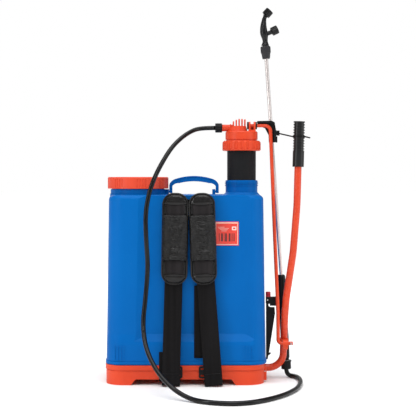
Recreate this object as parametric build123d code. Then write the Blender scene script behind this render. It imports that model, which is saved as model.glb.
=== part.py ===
"""Lever-operated knapsack sprayer with its lance clipped beside the tank.

Frame: X runs across the tank, towards the pump and lever; -Y is the wearer's side, where the
straps are; +Z is up. Dimensions below are taken from the floor under the middle of the tank,
in millimetres. The saved parts are moved so that the origin is under the middle of the whole
sprayer, its hose left aside.
"""
from build123d import *
from math import hypot, radians, sqrt, tan
import os

os.makedirs("parts", exist_ok=True)

# ---------------------------------------------------------------- driving dimensions
# Origin of the saved parts, seen from the middle of the tank
ORIGIN_X = 49.5
ORIGIN_Y = -11.5

# Tank
TANK_X = 0.7            # middle of the tank across
TANK_W = 360.0          # width at the foot
TANK_W_TOP = 348.0
TANK_D = 176.0          # depth at the foot
TANK_D_STEP = 171.0     # depth above the step in the walls
TANK_D_TOP = 168.0
TANK_R = 38.0           # upright corner radius
TANK_Z0 = 44.0
STEP_Z0 = 89.0
STEP_Z1 = 113.0
TANK_Z1 = 424.0
TANK_EDGE_R = 12.0      # rounding of the top edge
WALL = 3.0
RECESS_Y = -78.0        # flat of the recess for the wearer's back
LIP_OUT = 1.8           # rim round the foot of the tank

# Filler
FILL_X = -110.5
FILL_NECK_D = 126.0
FILL_BORE_D = 110.0
FILL_TOP_Z = 458.0
CAP_D = 139.0
CAP_Z0 = 437.5
CAP_Z1 = 464.0

# Pump
PUMP_X = 127.0
NECK_D = 73.2
NECK_BORE_D = 69.6
NECK_TOP_Z = 456.5
CHAMBER_D = 66.0
CHAMBER_Z0 = 285.0
NUT_D = 88.0
NUT_Z0 = 523.7
NUT_Z1 = 547.0
HEAD_D = 73.8
HEAD_Z0 = 549.7
HEAD_Z1 = 568.4
TURRET_X = 118.0        # the ribbed turret stands off the pump's axis
OUTLET_Y = -5.0
OUTLET_Z = 576.2

# Base
BASE_X = -1.5
BASE_W = 359.5
BASE_D = 184.0
BASE_R = 42.0
BASE_Z1 = 44.0
BAND_Z = 31.6
ARCH_Z = 13.0
SHELL = 3.5

# Lever and link rod
LEVER_D = 16.2
PIVOT_Y = -10.0
PIVOT_Z = 26.0
CRANK_Y = -46.0         # pin of the link rod, lever upright
CRANK_Z = 87.2
TOP_PIN_Y = -14.0       # pin in the pump head's bracket
TOP_PIN_Z = 581.1
ROD_D = 8.2
ROD_SLOT = 7.6          # play of the lower pin along its slot
PIN_X = 237.6           # split pin at the end of the link rod
LEVER_Y = -33.0         # upper, upright part of the lever

# Lance and trigger handle
LANCE_Y = 2.0
LANCE_D = 8.0
LANCE_TOP = (183.6, 734.8)
LANCE_LOW = (218.8, 238.6)
GRIP_FOOT = (231.0, 21.0)

# Hose
HOSE_D = 10.2
HOSE_ROUTE = [
    (66.5, -5.0, 576.2),
    (38.0, -5.0, 576.2),
    (14.0, -22.0, 570.0),
    (-14.0, -58.0, 549.0),
    (-38.0, -92.0, 520.0),
    (-72.0, -122.0, 455.0),
    (-87.0, -129.0, 392.0),
    (-85.0, -130.0, 324.0),
    (-81.0, -128.0, 270.0),
    (-86.0, -130.0, 204.0),
    (-93.0, -140.0, 140.0),
    (-82.0, -172.0, 86.0),
    (-48.0, -222.0, 38.0),
    (6.0, -270.0, 5.4),
    (66.0, -312.0, 5.3),
    (132.0, -312.0, 5.3),
    (196.0, -250.0, 5.3),
    (240.0, -170.0, 5.3),
    (257.0, -92.0, 5.3),
    (259.0, -46.0, 5.3),
    (255.5, -19.0, 5.3),
    (247.5, -4.5, 5.3),
    (238.2, 0.4, 5.3),
    (231.5, 2.0, 12.3),
    (231.0, 2.0, 20.98),
]


# ---------------------------------------------------------------- helpers
def box(x0, x1, y0, y1, z0, z1):
    """Block between two corners."""
    centre = Pos((x0 + x1) / 2, (y0 + y1) / 2, (z0 + z1) / 2)
    return centre * Box(abs(x1 - x0), abs(y1 - y0), abs(z1 - z0))


def post(x, y, z0, z1, d, d_top=None):
    """Upright cylinder, or a cone when d_top is given."""
    place = Pos(x, y, (z0 + z1) / 2)
    if d_top is None:
        return place * Cylinder(d / 2, z1 - z0)
    return place * Cone(d / 2, d_top / 2, z1 - z0)


def bar(p, q, d):
    """Round bar from point p to point q."""
    start = Vector(*p)
    run = Vector(*q) - start
    plane = Plane(origin=start, z_dir=run)
    return extrude(plane * Circle(d / 2), amount=run.length)


def ring(x, y, z0, z1, d, bore):
    """Upright tube."""
    return post(x, y, z0, z1, d) - post(x, y, z0 - 1, z1 + 1, bore)


def slab(outline_points, y0, y1):
    """Plate cut to an outline of (x, z) points, lying between two Y planes."""
    face = make_face(Polyline(*[(x, y0, z) for x, z in outline_points], close=True))
    return extrude(face, amount=y1 - y0, dir=(0, 1, 0))


def prism_x(outline_points, x0, x1):
    """Plate cut to an outline of (y, z) points, lying between two X planes."""
    face = make_face(Polyline(*[(x0, y, z) for y, z in outline_points], close=True))
    return extrude(face, amount=x1 - x0, dir=(1, 0, 0))


def turned(profile, plane):
    """Solid of revolution: profile holds (radius, height) points, plane.z is the axis."""
    face = plane * Plane.XZ * make_face(Polyline(*[(r, h) for r, h in profile], close=True))
    return revolve(face, axis=Axis(plane.origin, plane.z_dir))


def flutes(count, radius, size, z0, z1):
    """Ring of upright cutters round the local Z axis."""
    cutter = Pos(radius, 0, (z0 + z1) / 2) * Cylinder(size / 2, z1 - z0)
    return [Rot(0, 0, 360 * n / count) * cutter for n in range(count)]


def wedge(x, y, turn, spread, z0, z1):
    """Upright wedge whose edge is at x, y and whose middle points at turn degrees."""
    reach = 500 * sqrt(1 + tan(radians(spread / 2)) ** 2)
    corners = [(0, 0)]
    for angle in (turn - spread / 2, turn + spread / 2):
        corner = Vector(reach, 0, 0).rotate(Axis.Z, angle)
        corners.append((corner.X, corner.Y))
    face = make_face(Polyline(*[(x + a, y + b, z0) for a, b in corners], close=True))
    return extrude(face, amount=z1 - z0, dir=(0, 0, 1))


def lengths(shape, cutters):
    """A thin-walled moulding as separate lengths that meet face to face."""
    pieces = []
    for cutter in cutters:
        cut = shape & cutter
        if cut is not None:
            pieces.extend(s for s in cut.solids() if s.volume > 0.5)
    return pieces


def save(name, shape):
    """Write one sub-part."""
    if isinstance(shape, list):
        shape = Compound(children=shape)
    export_step(Pos(-ORIGIN_X, -ORIGIN_Y, 0) * shape, f"parts/{name}.step")


def axis_plane(foot, toward, y):
    """Plane at foot whose Z points at toward; both are (x, z) points."""
    run = Vector(toward[0] - foot[0], 0, toward[1] - foot[1])
    return Plane(origin=(foot[0], y, foot[1]), x_dir=(run.Z, 0, -run.X), z_dir=run)


# ---------------------------------------------------------------- tank
def tank_section(width, depth, height, inset):
    outline = RectangleRounded(width - 2 * inset, depth - 2 * inset, TANK_R - inset)
    return Pos(TANK_X, 0, height) * outline


def back_recess(inset):
    """Cutter for the shallow, soft-edged recess that the wearer's back fits."""
    flat = RECESS_Y + inset
    line = FilletPolyline((-190, flat - 30), (-84 - inset, flat), (134 + inset, flat), (230, flat - 30),
                          radius=60)
    outline = line + Polyline((230, flat - 30), (230, -200), (-190, -200), (-190, flat - 30))
    cutter = extrude(Pos(0, 0, STEP_Z0) * make_face(outline), amount=400)
    sill = prism_x([(flat + 2, STEP_Z0 - 1), (flat + 2, STEP_Z1 + 4), (flat - 14, STEP_Z0 - 1)], -230, 230)
    return cutter - sill


def tank_form(inset):
    """The tank's closed form, every face moved inwards by inset."""
    span = TANK_Z1 - TANK_Z0
    narrowing = (TANK_W - TANK_W_TOP) / span
    sections = [
        tank_section(TANK_W, TANK_D, TANK_Z0 + inset, inset),
        tank_section(TANK_W - narrowing * (STEP_Z0 - TANK_Z0), TANK_D, STEP_Z0, inset),
        tank_section(TANK_W - narrowing * (STEP_Z1 - TANK_Z0), TANK_D_STEP, STEP_Z1, inset),
        tank_section(TANK_W_TOP, TANK_D_TOP, TANK_Z1 - inset, inset),
    ]
    form = loft(sections, ruled=True)
    form = fillet(form.faces().sort_by(Axis.Z)[-1].edges(), TANK_EDGE_R - inset)
    return form - back_recess(inset)


def make_tank():
    outer = tank_form(0)
    lip = tank_form(-LIP_OUT) & box(-200, 200, -120, 120, 46, 52)
    ribbed = tank_form(-1.2)
    outer += lip
    for first in (-160.0, 128.5):
        for n in range(4):
            x = first + 6.6 * n
            outer += ribbed & box(x, x + 3.2, -120, -60, 53, 87)
    # filler neck with its shoulder and thread
    outer += post(FILL_X, 0, 400, 436, FILL_NECK_D)
    outer += post(FILL_X, 0, 414, 426, FILL_NECK_D + 3)
    outer += post(FILL_X, 0, 435, FILL_TOP_Z, 120)
    for n in range(2):
        outer += post(FILL_X, 0, 442 + 6 * n, 444 + 6 * n, 122)
    # pump neck with its flare and thread
    outer += post(PUMP_X, 0, 410, NECK_TOP_Z, NECK_D)
    outer += post(PUMP_X, 0, TANK_Z1 - 2, TANK_Z1 + 5, NECK_D + 13, NECK_D)
    for n in range(3):
        outer += post(PUMP_X, 0, 444 + 3.6 * n, 445.8 + 3.6 * n, NECK_D + 3.2)
    # lugs for the carry handle
    outer += box(-49, -39.9, -6, 6, 420, 436)
    outer += box(59.8, 66.8, -6, 6, 420, 436)
    cavity = tank_form(WALL)
    for x in (-140, 60):
        for y in (-50, 50):
            cavity -= post(x, y, 40, 60, 16)
    shell = outer - cavity
    shell -= post(FILL_X, 0, 400, 470, FILL_BORE_D)
    shell -= post(PUMP_X, 0, 400, 470, NECK_BORE_D)
    for x in (-140, 60):
        for y in (-50, 50):
            shell -= post(x, y, 40, 56, 4.6)
    pivot_hole = bar((-60, 0, 430.5), (80, 0, 430.5), 5.2)
    return shell - pivot_hole


def tank_lengths():
    """Floor, four walls with their corners, and the top in sectors round the two necks."""
    reach = 250
    cutters = [box(-reach, reach, -reach, reach, 0, 66)]
    for x0, x1 in ((-reach, -138), (-138, 138), (138, reach)):
        for y0, y1 in ((-reach, -46), (-46, 46), (46, reach)):
            cutters.append(box(x0, x1, y0, y1, 66, 400))
    for x0, x1, neck_x in ((-reach, -39.5, FILL_X), (76, reach, PUMP_X)):
        side = box(x0, x1, -reach, reach, 400, 500)
        for z0, z1 in ((400, 426), (426, 470)):
            for n in range(8):
                cutters.append(side & wedge(neck_x, 0, 45 * n, 45, z0, z1))
    cutters.append(box(-39.5, 59.5, -reach, reach, 400, 500))
    cutters.append(box(59.5, 76, -reach, reach, 400, 500))
    return lengths(make_tank(), cutters)


save("tank_shell", tank_lengths())


# ---------------------------------------------------------------- filler cap and strainer
def make_filler_cap():
    body = post(0, 0, CAP_Z0, CAP_Z1, CAP_D)
    body = fillet(body.edges().sort_by(Axis.Z)[-1], 3)
    body -= post(0, 0, CAP_Z0 - 1, 461, 124.4)
    # eight groups of three grip ribs with smooth stretches between
    for group in range(8):
        for n in range(4):
            turn = 45 * group + 5.2 * (n - 1.5)
            cutter = Pos(CAP_D / 2 + 0.4, 0, (CAP_Z0 + CAP_Z1) / 2 - 2) * Cylinder(1.5, 20)
            body -= Rot(0, 0, turn + 10) * cutter
    return Pos(FILL_X, 0, 0) * body


def make_basket():
    flange = ring(0, 0, FILL_TOP_Z, FILL_TOP_Z + 1.5, 119, 100)
    wall = ring(0, 0, 372, FILL_TOP_Z + 1, 106, 102) + post(0, 0, 370, 373, 106)
    slots = []
    for n in range(20):
        slots.append(Rot(0, 0, 18 * n) * box(45, 60, -4.5, 4.5, 384, 446))
    floor_holes = []
    for radius, count in ((14, 6), (28, 12), (42, 18)):
        for n in range(count):
            floor_holes.append(Rot(0, 0, 360 * n / count) * Pos(radius, 0, 371) * Cylinder(3.6, 8))
    return Pos(FILL_X, 0, 0) * (flange + wall - slots - floor_holes)


save("filler_cap", make_filler_cap())
save("cap_gasket", ring(FILL_X, 0, FILL_TOP_Z + 1.5, 461, 118, 104))
basket_cutters = [box(-300, 0, -100, 100, 360, 373)]
basket_cutters += [wedge(FILL_X, 0, 30 * n, 30, 373, 470) for n in range(12)]
save("strainer_basket", lengths(make_basket(), basket_cutters))


# ---------------------------------------------------------------- carry handle
def make_carry_handle():
    left = -38.9
    right = 74.6
    middle = (left + right) / 2
    leg = 7.0
    outer = [
        Line((left, 0, 427.0), (left, 0, 446)),
        ThreePointArc((left, 0, 446), (left + 5.5, 0, 454.5), (left + 14, 0, 459.5)),
        ThreePointArc((left + 14, 0, 459.5), (middle, 0, 466.3), (right - 14, 0, 459.5)),
        ThreePointArc((right - 14, 0, 459.5), (right - 5.5, 0, 454.5), (right, 0, 446)),
        Line((right, 0, 446), (right, 0, 427.0)),
        Line((right, 0, 427.0), (right - leg, 0, 427.0)),
        Line((right - leg, 0, 427.0), (right - leg, 0, 443)),
        ThreePointArc((right - leg, 0, 443), (right - 12, 0, 447.5), (right - 22, 0, 449.6)),
        ThreePointArc((right - 22, 0, 449.6), (middle, 0, 454), (left + 22, 0, 449.6)),
        ThreePointArc((left + 22, 0, 449.6), (left + 12, 0, 447.5), (left + leg, 0, 443)),
        Line((left + leg, 0, 443), (left + leg, 0, 427.0)),
        Line((left + leg, 0, 427.0), (left, 0, 427.0)),
    ]
    bail = extrude(make_face(outer), amount=5, both=True)
    rim_top = [
        ThreePointArc((left + 14, 0, 459.5), (middle, 0, 466.3), (right - 14, 0, 459.5)),
        Line((right - 14, 0, 459.5), (right - 15, 0, 457.2)),
        ThreePointArc((right - 15, 0, 457.2), (middle, 0, 463.8), (left + 15, 0, 457.2)),
        Line((left + 15, 0, 457.2), (left + 14, 0, 459.5)),
    ]
    bail += extrude(make_face(rim_top), amount=6.4, both=True)
    return bail - bar((-60, 0, 430.5), (80, 0, 430.5), 5.2)


save("carry_handle", make_carry_handle())
save("carry_pins", [bar((x0, 0, 430.5), (x1, 0, 430.5), 5.0) for x0, x1 in ((-48.5, -31.9), (60.5, 74.6))])


# ---------------------------------------------------------------- base
def base_block(inset, z0, z1):
    outline = RectangleRounded(BASE_W - 2 * inset, BASE_D - 2 * inset, BASE_R - inset)
    return extrude(Pos(BASE_X, 0, z0) * outline, amount=z1 - z0)


def make_base():
    body = base_block(1.5, 0, BAND_Z) + base_block(2.5, BAND_Z, BAND_Z + 1.5)
    body += base_block(0, BAND_Z + 1.5, BASE_Z1)
    body -= base_block(1.5 + SHELL, -1, BASE_Z1 - 4)
    # stiffening ribs under the deck, one of them carrying the inner end of the lever's shaft
    for x in (-120, -40, 30):
        body += box(x - 1.5, x + 1.5, -87, 87, ARCH_Z + 6, BASE_Z1 - 3)
    body += box(92, 102, -87, 87, ARCH_Z + 2, BASE_Z1 - 3)
    # end boss for the outer bearing
    end = BASE_X + BASE_W / 2
    body += box(end - 16, end - 2, PIVOT_Y - 16, PIVOT_Y + 16, ARCH_Z, BASE_Z1 - 3)
    # feet stand at the corners, with slanted arches between them
    for side in (-1, 1):
        body -= slab([(-123.3, -1), (-111.4, ARCH_Z), (102.5, ARCH_Z), (113, -1)],
                     side * 70 - 30, side * 70 + 30)
    body -= prism_x([(-56, -1), (-46, ARCH_Z), (46, ARCH_Z), (56, -1)], -200, 200)
    body -= bar((80, PIVOT_Y, PIVOT_Z), (190, PIVOT_Y, PIVOT_Z), 20.4)
    # lug with a hole beside the lever
    lug = box(end - 5, end + 4.5, -50, -44, 4, 35)
    lug -= bar((end + 1, -60, 25), (end + 1, -30, 25), 4.5)
    body += lug
    # lugs that hold the strap buckles
    for x in (-32, 55):
        body += box(x - 12, x + 12, -BASE_D / 2 - 5, -BASE_D / 2 + 3, 24, 32)
    for x in (-140, 60):
        for y in (-50, 50):
            body -= post(x, y, 30, 50, 4.8)
    return body


def make_base_screws():
    screws = []
    for x in (-140, 60):
        for y in (-50, 50):
            head = post(x, y, 36.8, 40, 9) - box(x - 3, x + 3, y - 0.5, y + 0.5, 36, 38)
            screws.append(head + post(x, y, 39.9, 55, 4.4))
    return screws


def make_bearings():
    end = BASE_X + BASE_W / 2
    bushes = []
    for x0, x1 in ((92, 102), (end - 16, end - 0.5)):
        sleeve = bar((x0, PIVOT_Y, PIVOT_Z), (x1, PIVOT_Y, PIVOT_Z), 20.2)
        bushes.append(sleeve - bar((x0 - 1, PIVOT_Y, PIVOT_Z), (x1 + 1, PIVOT_Y, PIVOT_Z), LEVER_D + 0.18))
    return bushes


def base_lengths():
    """Deck, corners with their feet, and the walls and ribs between them."""
    reach = 250
    cuts = [-reach, -139, -121.6, -118.4, -111.4, -41.6, -38.4, 28.4, 31.6, 91.9, 102.5, 134, reach]
    cutters = [box(-reach, reach, -reach, reach, 38, 60)]
    for x0, x1 in zip(cuts[1:-1], cuts[2:-1]):
        cutters.append(box(x0, x1, -reach, reach, -1, 38))
    for x0, x1 in ((cuts[0], cuts[1]), (cuts[-2], cuts[-1])):
        for y0, y1 in ((-reach, -43.5), (-43.5, 46), (46, reach)):
            cutters.append(box(x0, x1, y0, y1, -1, 38))
    return lengths(make_base(), cutters)


save("base_housing", base_lengths())
save("base_screws", make_base_screws())
save("shaft_bearings", make_bearings())


# ---------------------------------------------------------------- pump, fixed in the tank
def make_cylinder():
    tube = ring(PUMP_X, 0, TANK_Z0 + WALL, 228, 54, 50)
    for n in range(6):
        tube -= Pos(PUMP_X, 0, 0) * Rot(0, 0, 60 * n) * box(20, 30, -5, 5, TANK_Z0 + WALL - 1, 52)
    return tube


def make_suction_strainer():
    sleeve = ring(0, 0, TANK_Z0 + WALL, 64, 66, 62) + ring(0, 0, 62, 64, 66, 54.4)
    for n in range(24):
        sleeve -= Rot(0, 0, 15 * n) * box(29, 35, -1.2, 1.2, 49, 60)
    return Pos(PUMP_X, 0, 0) * sleeve


save("pump_cylinder", make_cylinder())
save("inlet_valve_seat", ring(PUMP_X, 0, 53, 60, 50, 13) - post(PUMP_X, 0, 57, 61, 13, 19))
save("inlet_valve_ball", Pos(PUMP_X, 0, 67.2) * Sphere(9))
save("suction_strainer", make_suction_strainer())
save("neck_guide_bush", ring(PUMP_X, 0, 436, NECK_TOP_Z, NECK_BORE_D, CHAMBER_D + 0.16))


# ---------------------------------------------------------------- pump, moving with the link rod
def make_chamber():
    can = post(PUMP_X, 0, CHAMBER_Z0, 534, CHAMBER_D) + post(PUMP_X, 0, 530, 534, 79.4)
    can -= post(PUMP_X, 0, CHAMBER_Z0 + 6, 535, CHAMBER_D - 5)
    can -= post(PUMP_X, 0, CHAMBER_Z0 - 1, CHAMBER_Z0 + 7, 23.8)
    return can


def make_ring_nut():
    body = post(0, 0, NUT_Z0, NUT_Z1, NUT_D)
    body = fillet(body.edges().filter_by(GeomType.CIRCLE).sort_by(Axis.Z)[-1], 6)
    body = fillet(body.edges().filter_by(GeomType.CIRCLE).sort_by(Axis.Z)[0], 3)
    body -= flutes(20, NUT_D / 2 + 1.9, 9.4, NUT_Z0 + 4, NUT_Z1 + 3)
    body -= post(0, 0, NUT_Z0 - 1, 531, CHAMBER_D + 0.6)
    body -= post(0, 0, 530, NUT_Z1 + 1, 80.2)
    return Pos(PUMP_X, 0, 0) * body


def make_bracket():
    """Two cheeks on a foot, for the link rod's upper pin."""
    bracket = box(142.4, 158.6, TOP_PIN_Y - 9.8, TOP_PIN_Y + 9.8, HEAD_Z1 - 2, 571.5)
    for x0 in (142.9, 154.2):
        cheek = box(x0, x0 + 3.9, TOP_PIN_Y - 9, TOP_PIN_Y + 9, HEAD_Z1 + 1, TOP_PIN_Z + 9)
        bracket += fillet(cheek.edges().filter_by(Axis.X).group_by(Axis.Z)[-1], 8)
    # web that ties the two cheeks together behind the pin
    bracket += box(146.5, 154.5, TOP_PIN_Y + 6.6, TOP_PIN_Y + 9, HEAD_Z1 + 1, TOP_PIN_Z + 3)
    return bracket


def make_pump_head():
    body = post(PUMP_X, 0, 536, NUT_Z1, 79.8) + post(PUMP_X, 0, NUT_Z1 - 1, HEAD_Z0 + 1, 70)
    upper = post(PUMP_X, 0, HEAD_Z0, HEAD_Z1, HEAD_D)
    body += chamfer(upper.edges().filter_by(GeomType.CIRCLE).sort_by(Axis.Z)[-1], 2.2)
    body += make_bracket()
    body += post(TURRET_X, OUTLET_Y, HEAD_Z1 - 1, 580.3, 46, 38)
    # stiffening comb on the turret; its tops follow an arch
    for n, top in enumerate((584.5, 591, 594.5, 596.5, 596.5, 595.5)):
        x = 101.7 + 6.56 * n
        half = min(14.0, sqrt(max(22.0 ** 2 - (x - TURRET_X) ** 2, 40)))
        rib = box(x - 1.4, x + 1.4, OUTLET_Y - half, OUTLET_Y + half, 571, top)
        body += fillet(rib.edges().filter_by(Axis.X).sort_by(Axis.Z)[-2:], 3)
    # hose outlet
    body += bar((82.4, OUTLET_Y, OUTLET_Z), (108, OUTLET_Y, OUTLET_Z), 15.6)
    # hollow inside: air space, riser and outlet passage
    body -= post(PUMP_X, 0, 535, 560, 56)
    body -= post(TURRET_X, OUTLET_Y, 550, OUTLET_Z, 9.0)
    body -= bar((60, OUTLET_Y, OUTLET_Z), (TURRET_X, OUTLET_Y, OUTLET_Z), 7.0)
    body -= bar((140, TOP_PIN_Y, TOP_PIN_Z), (165, TOP_PIN_Y, TOP_PIN_Z), 12.4)
    return body


def make_hose_nut(plane, length, d):
    """Ribbed union nut along the plane's Z, from 0 to length."""
    nut = Cylinder(d / 2, length, align=(Align.CENTER, Align.CENTER, Align.MIN))
    nut = chamfer(nut.edges().filter_by(GeomType.CIRCLE), 1.0)
    nut -= flutes(16, d / 2 + 0.7, 2.6, 2, length - 2)
    return plane * nut


def make_top_hose_nut():
    plane = Plane(origin=(66.5, OUTLET_Y, OUTLET_Z), z_dir=(1, 0, 0))
    nut = make_hose_nut(plane, 15.8, 21.4)
    nut -= bar((72, OUTLET_Y, OUTLET_Z), (83, OUTLET_Y, OUTLET_Z), 15.8)
    return nut - bar((60, OUTLET_Y, OUTLET_Z), (73, OUTLET_Y, OUTLET_Z), 6.6)


def make_hose_barb():
    barb = bar((73.0, OUTLET_Y, OUTLET_Z), (82.2, OUTLET_Y, OUTLET_Z), 12)
    barb += bar((67.0, OUTLET_Y, OUTLET_Z), (74.0, OUTLET_Y, OUTLET_Z), 6.4)
    return barb - bar((60, OUTLET_Y, OUTLET_Z), (90, OUTLET_Y, OUTLET_Z), 4.0)


def make_rod_bushes():
    bushes = []
    for x0, x1, flange0, flange1 in ((142.9, 146.8, 139.2, 142.9), (154.2, 158.1, 158.1, 161.6)):
        bush = bar((x0, TOP_PIN_Y, TOP_PIN_Z), (x1, TOP_PIN_Y, TOP_PIN_Z), 12.2)
        bush += bar((flange0, TOP_PIN_Y, TOP_PIN_Z), (flange1, TOP_PIN_Y, TOP_PIN_Z), 17)
        bushes.append(bush - bar((130, TOP_PIN_Y, TOP_PIN_Z), (170, TOP_PIN_Y, TOP_PIN_Z), ROD_D + 0.16))
    return bushes


def make_piston_tube():
    tube = ring(PUMP_X, 0, 132, CHAMBER_Z0 + 10, 23.6, 18)
    tube += ring(PUMP_X, 0, 144.2, 147, 44, 20)
    return tube + ring(PUMP_X, 0, 129.6, 132.5, 34, 12)


def make_piston_cup():
    cup = ring(PUMP_X, 0, 132.6, 144.1, 49.84, 23.7)
    return cup - ring(PUMP_X, 0, 131, 139, 44, 34)


def make_agitator():
    disc = ring(0, 0, 292, 295, 84, CHAMBER_D + 0.1)
    for n in range(10):
        disc -= Rot(0, 0, 36 * n) * Pos(37.5, 0, 293) * Cylinder(3, 8)
    return Pos(PUMP_X, 0, 0) * disc


save("air_chamber", make_chamber())
save("ring_nut", make_ring_nut())
save("pump_head", make_pump_head())
save("head_gasket", ring(PUMP_X, 0, 534, 536, 79, 61))
save("hose_nut_top", make_top_hose_nut())
save("hose_barb", make_hose_barb())
save("rod_bushes", make_rod_bushes())
save("riser_tube", ring(TURRET_X, OUTLET_Y, 304, 572, 8.8, 6.0))
save("piston_tube", make_piston_tube())
save("piston_cup", make_piston_cup())
save("outlet_valve_ball", Pos(PUMP_X, 0, 140.5) * Sphere(7.6))
save("agitator_disc", make_agitator())


# ---------------------------------------------------------------- link rod
ROD_LEAN = (CRANK_Y - TOP_PIN_Y) / (CRANK_Z - TOP_PIN_Z)


def rod_y(z):
    return TOP_PIN_Y + ROD_LEAN * (z - TOP_PIN_Z)


def make_link_rod():
    route = [
        (139.0, TOP_PIN_Y, TOP_PIN_Z),
        (192.2, TOP_PIN_Y, TOP_PIN_Z),
        (202.1, rod_y(320), 320),
        (208.6, rod_y(160), 160),
        (209.0, CRANK_Y, CRANK_Z),
        (242.0, CRANK_Y, CRANK_Z),
    ]
    path = FilletPolyline(*route, radius=[13, 300, 300, 8.5])
    section = Plane(origin=route[0], z_dir=(1, 0, 0)) * Circle(ROD_D / 2)
    rod = sweep(section, path)
    return rod - bar((PIN_X, CRANK_Y - 10, CRANK_Z), (PIN_X, CRANK_Y + 10, CRANK_Z), 3.2)


def make_split_pin():
    pin = bar((PIN_X, CRANK_Y - 6, CRANK_Z), (PIN_X, CRANK_Y + 8, CRANK_Z), 2.8)
    eye = Pos(PIN_X, CRANK_Y - 7.4, CRANK_Z) * Rot(0, 90, 0) * Torus(2.2, 1.2)
    return pin + eye


def make_lance_clip():
    """Black clip on the rod's corner: it grips the rod and cradles the lance behind it."""
    y_front = TOP_PIN_Y - 2
    y_jaw = TOP_PIN_Y + ROD_D / 2 + 0.5
    top = 592.0
    arm = slab([(162.5, 587.5), (162.5, 591.5), (186, top), (195, top), (202, 588), (204.3, 580),
                (206.2, 543), (189.5, 543), (188.5, 560), (180.5, 575), (171, 579), (166, 580.5)],
               y_jaw, y_jaw + 3.2)
    # hood over the rod's horizontal part
    hood = slab([(162.5, 586.5), (162.5, 591.5), (186, top), (196, top), (202, 588.5), (203, 584),
                 (198, 586.6), (192, 586.6)], TOP_PIN_Y - 4, y_jaw + 1)
    # cheek that holds the rod's upright part
    cheek = slab([(200.8, 572), (204.6, 576), (206.2, 543), (199.8, 543)], TOP_PIN_Y - 5, y_jaw + 1)
    # jaw round the lance, open at the back
    jaw_z0 = 543.0
    jaw_z1 = 557.0
    jaw = box(192.2, 208.8, y_jaw, LANCE_Y + 7, jaw_z0, jaw_z1)
    jaw -= box(193.9, 207.1, LANCE_Y - 6.6, LANCE_Y + 20, jaw_z0 - 1, jaw_z1 + 1)
    peg = bar((204.9, LANCE_Y - 4.8, 564.5), (213.2, LANCE_Y - 4.8, 564.5), 4)
    web = box(202.5, 206.0, y_jaw, LANCE_Y - 5.2, 558, 571)
    lug = slab([(199.0, 574), (207.0, 570.6), (207.0, 559.0), (199.0, 556)], y_jaw, y_jaw + 3.2)
    clip = arm + hood + cheek + jaw + peg + web + lug
    # room for the rod itself
    grip_route = [(150.0, TOP_PIN_Y, TOP_PIN_Z), (192.2, TOP_PIN_Y, TOP_PIN_Z), (197.0, rod_y(460), 460)]
    groove_path = FilletPolyline(*grip_route, radius=[13])
    groove = sweep(Plane(origin=grip_route[0], z_dir=(1, 0, 0)) * Circle(ROD_D / 2 + 0.02), groove_path)
    clip -= groove
    lance_room = bar((LANCE_TOP[0], LANCE_Y, LANCE_TOP[1]), (LANCE_LOW[0], LANCE_Y, LANCE_LOW[1]), 10.6)
    clip -= lance_room
    return clip.solids().sort_by(SortBy.VOLUME)[-1]


save("link_rod", make_link_rod())
save("split_pin", make_split_pin())
save("lance_clip", make_lance_clip())


# ---------------------------------------------------------------- lever
TUBE_LEAN = (LEVER_Y - PIVOT_Y) / (150 - PIVOT_Z)
GRIP_LOW = (254.4, LEVER_Y, 486.9)
GRIP_TOP = (256.8, LEVER_Y, 588.0)


def make_lever_tube():
    route = [
        (70.0, PIVOT_Y, PIVOT_Z),
        (221.5, PIVOT_Y, PIVOT_Z),
        (225.0, LEVER_Y, 150.0),
        (228.0, LEVER_Y, 188.0),
        (243.5, LEVER_Y, 292.0),
        (252.0, LEVER_Y, 400.0),
        (GRIP_LOW[0] + 2.2, LEVER_Y, 580.0),
    ]
    path = FilletPolyline(*route, radius=[34, 60, 120, 260, 500])
    plane = Plane(origin=route[0], z_dir=(1, 0, 0))
    tube = sweep(plane * Circle(LEVER_D / 2), path)
    hollow = sweep(plane * Circle(LEVER_D / 2 - 1.5), path)
    return tube - hollow


def make_lever_grip():
    low = Vector(*GRIP_LOW)
    axis = Vector(*GRIP_TOP) - low
    plane = Plane(origin=low, z_dir=axis)
    length = axis.length
    body = plane * Cylinder(12.9, 37, align=(Align.CENTER, Align.CENTER, Align.MIN))
    body += plane * Cylinder(10.9, length, align=(Align.CENTER, Align.CENTER, Align.MIN))
    for n in range(11):
        height = 37 + 2.2 + 6.05 * n
        body += plane * Pos(0, 0, height) * Cylinder(12.8, 3.2, align=(Align.CENTER, Align.CENTER, Align.MIN))
    bore = plane * Pos(0, 0, -1) * Cylinder(LEVER_D / 2 + 0.35, 96,
                                            align=(Align.CENTER, Align.CENTER, Align.MIN))
    return body - bore


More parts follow.
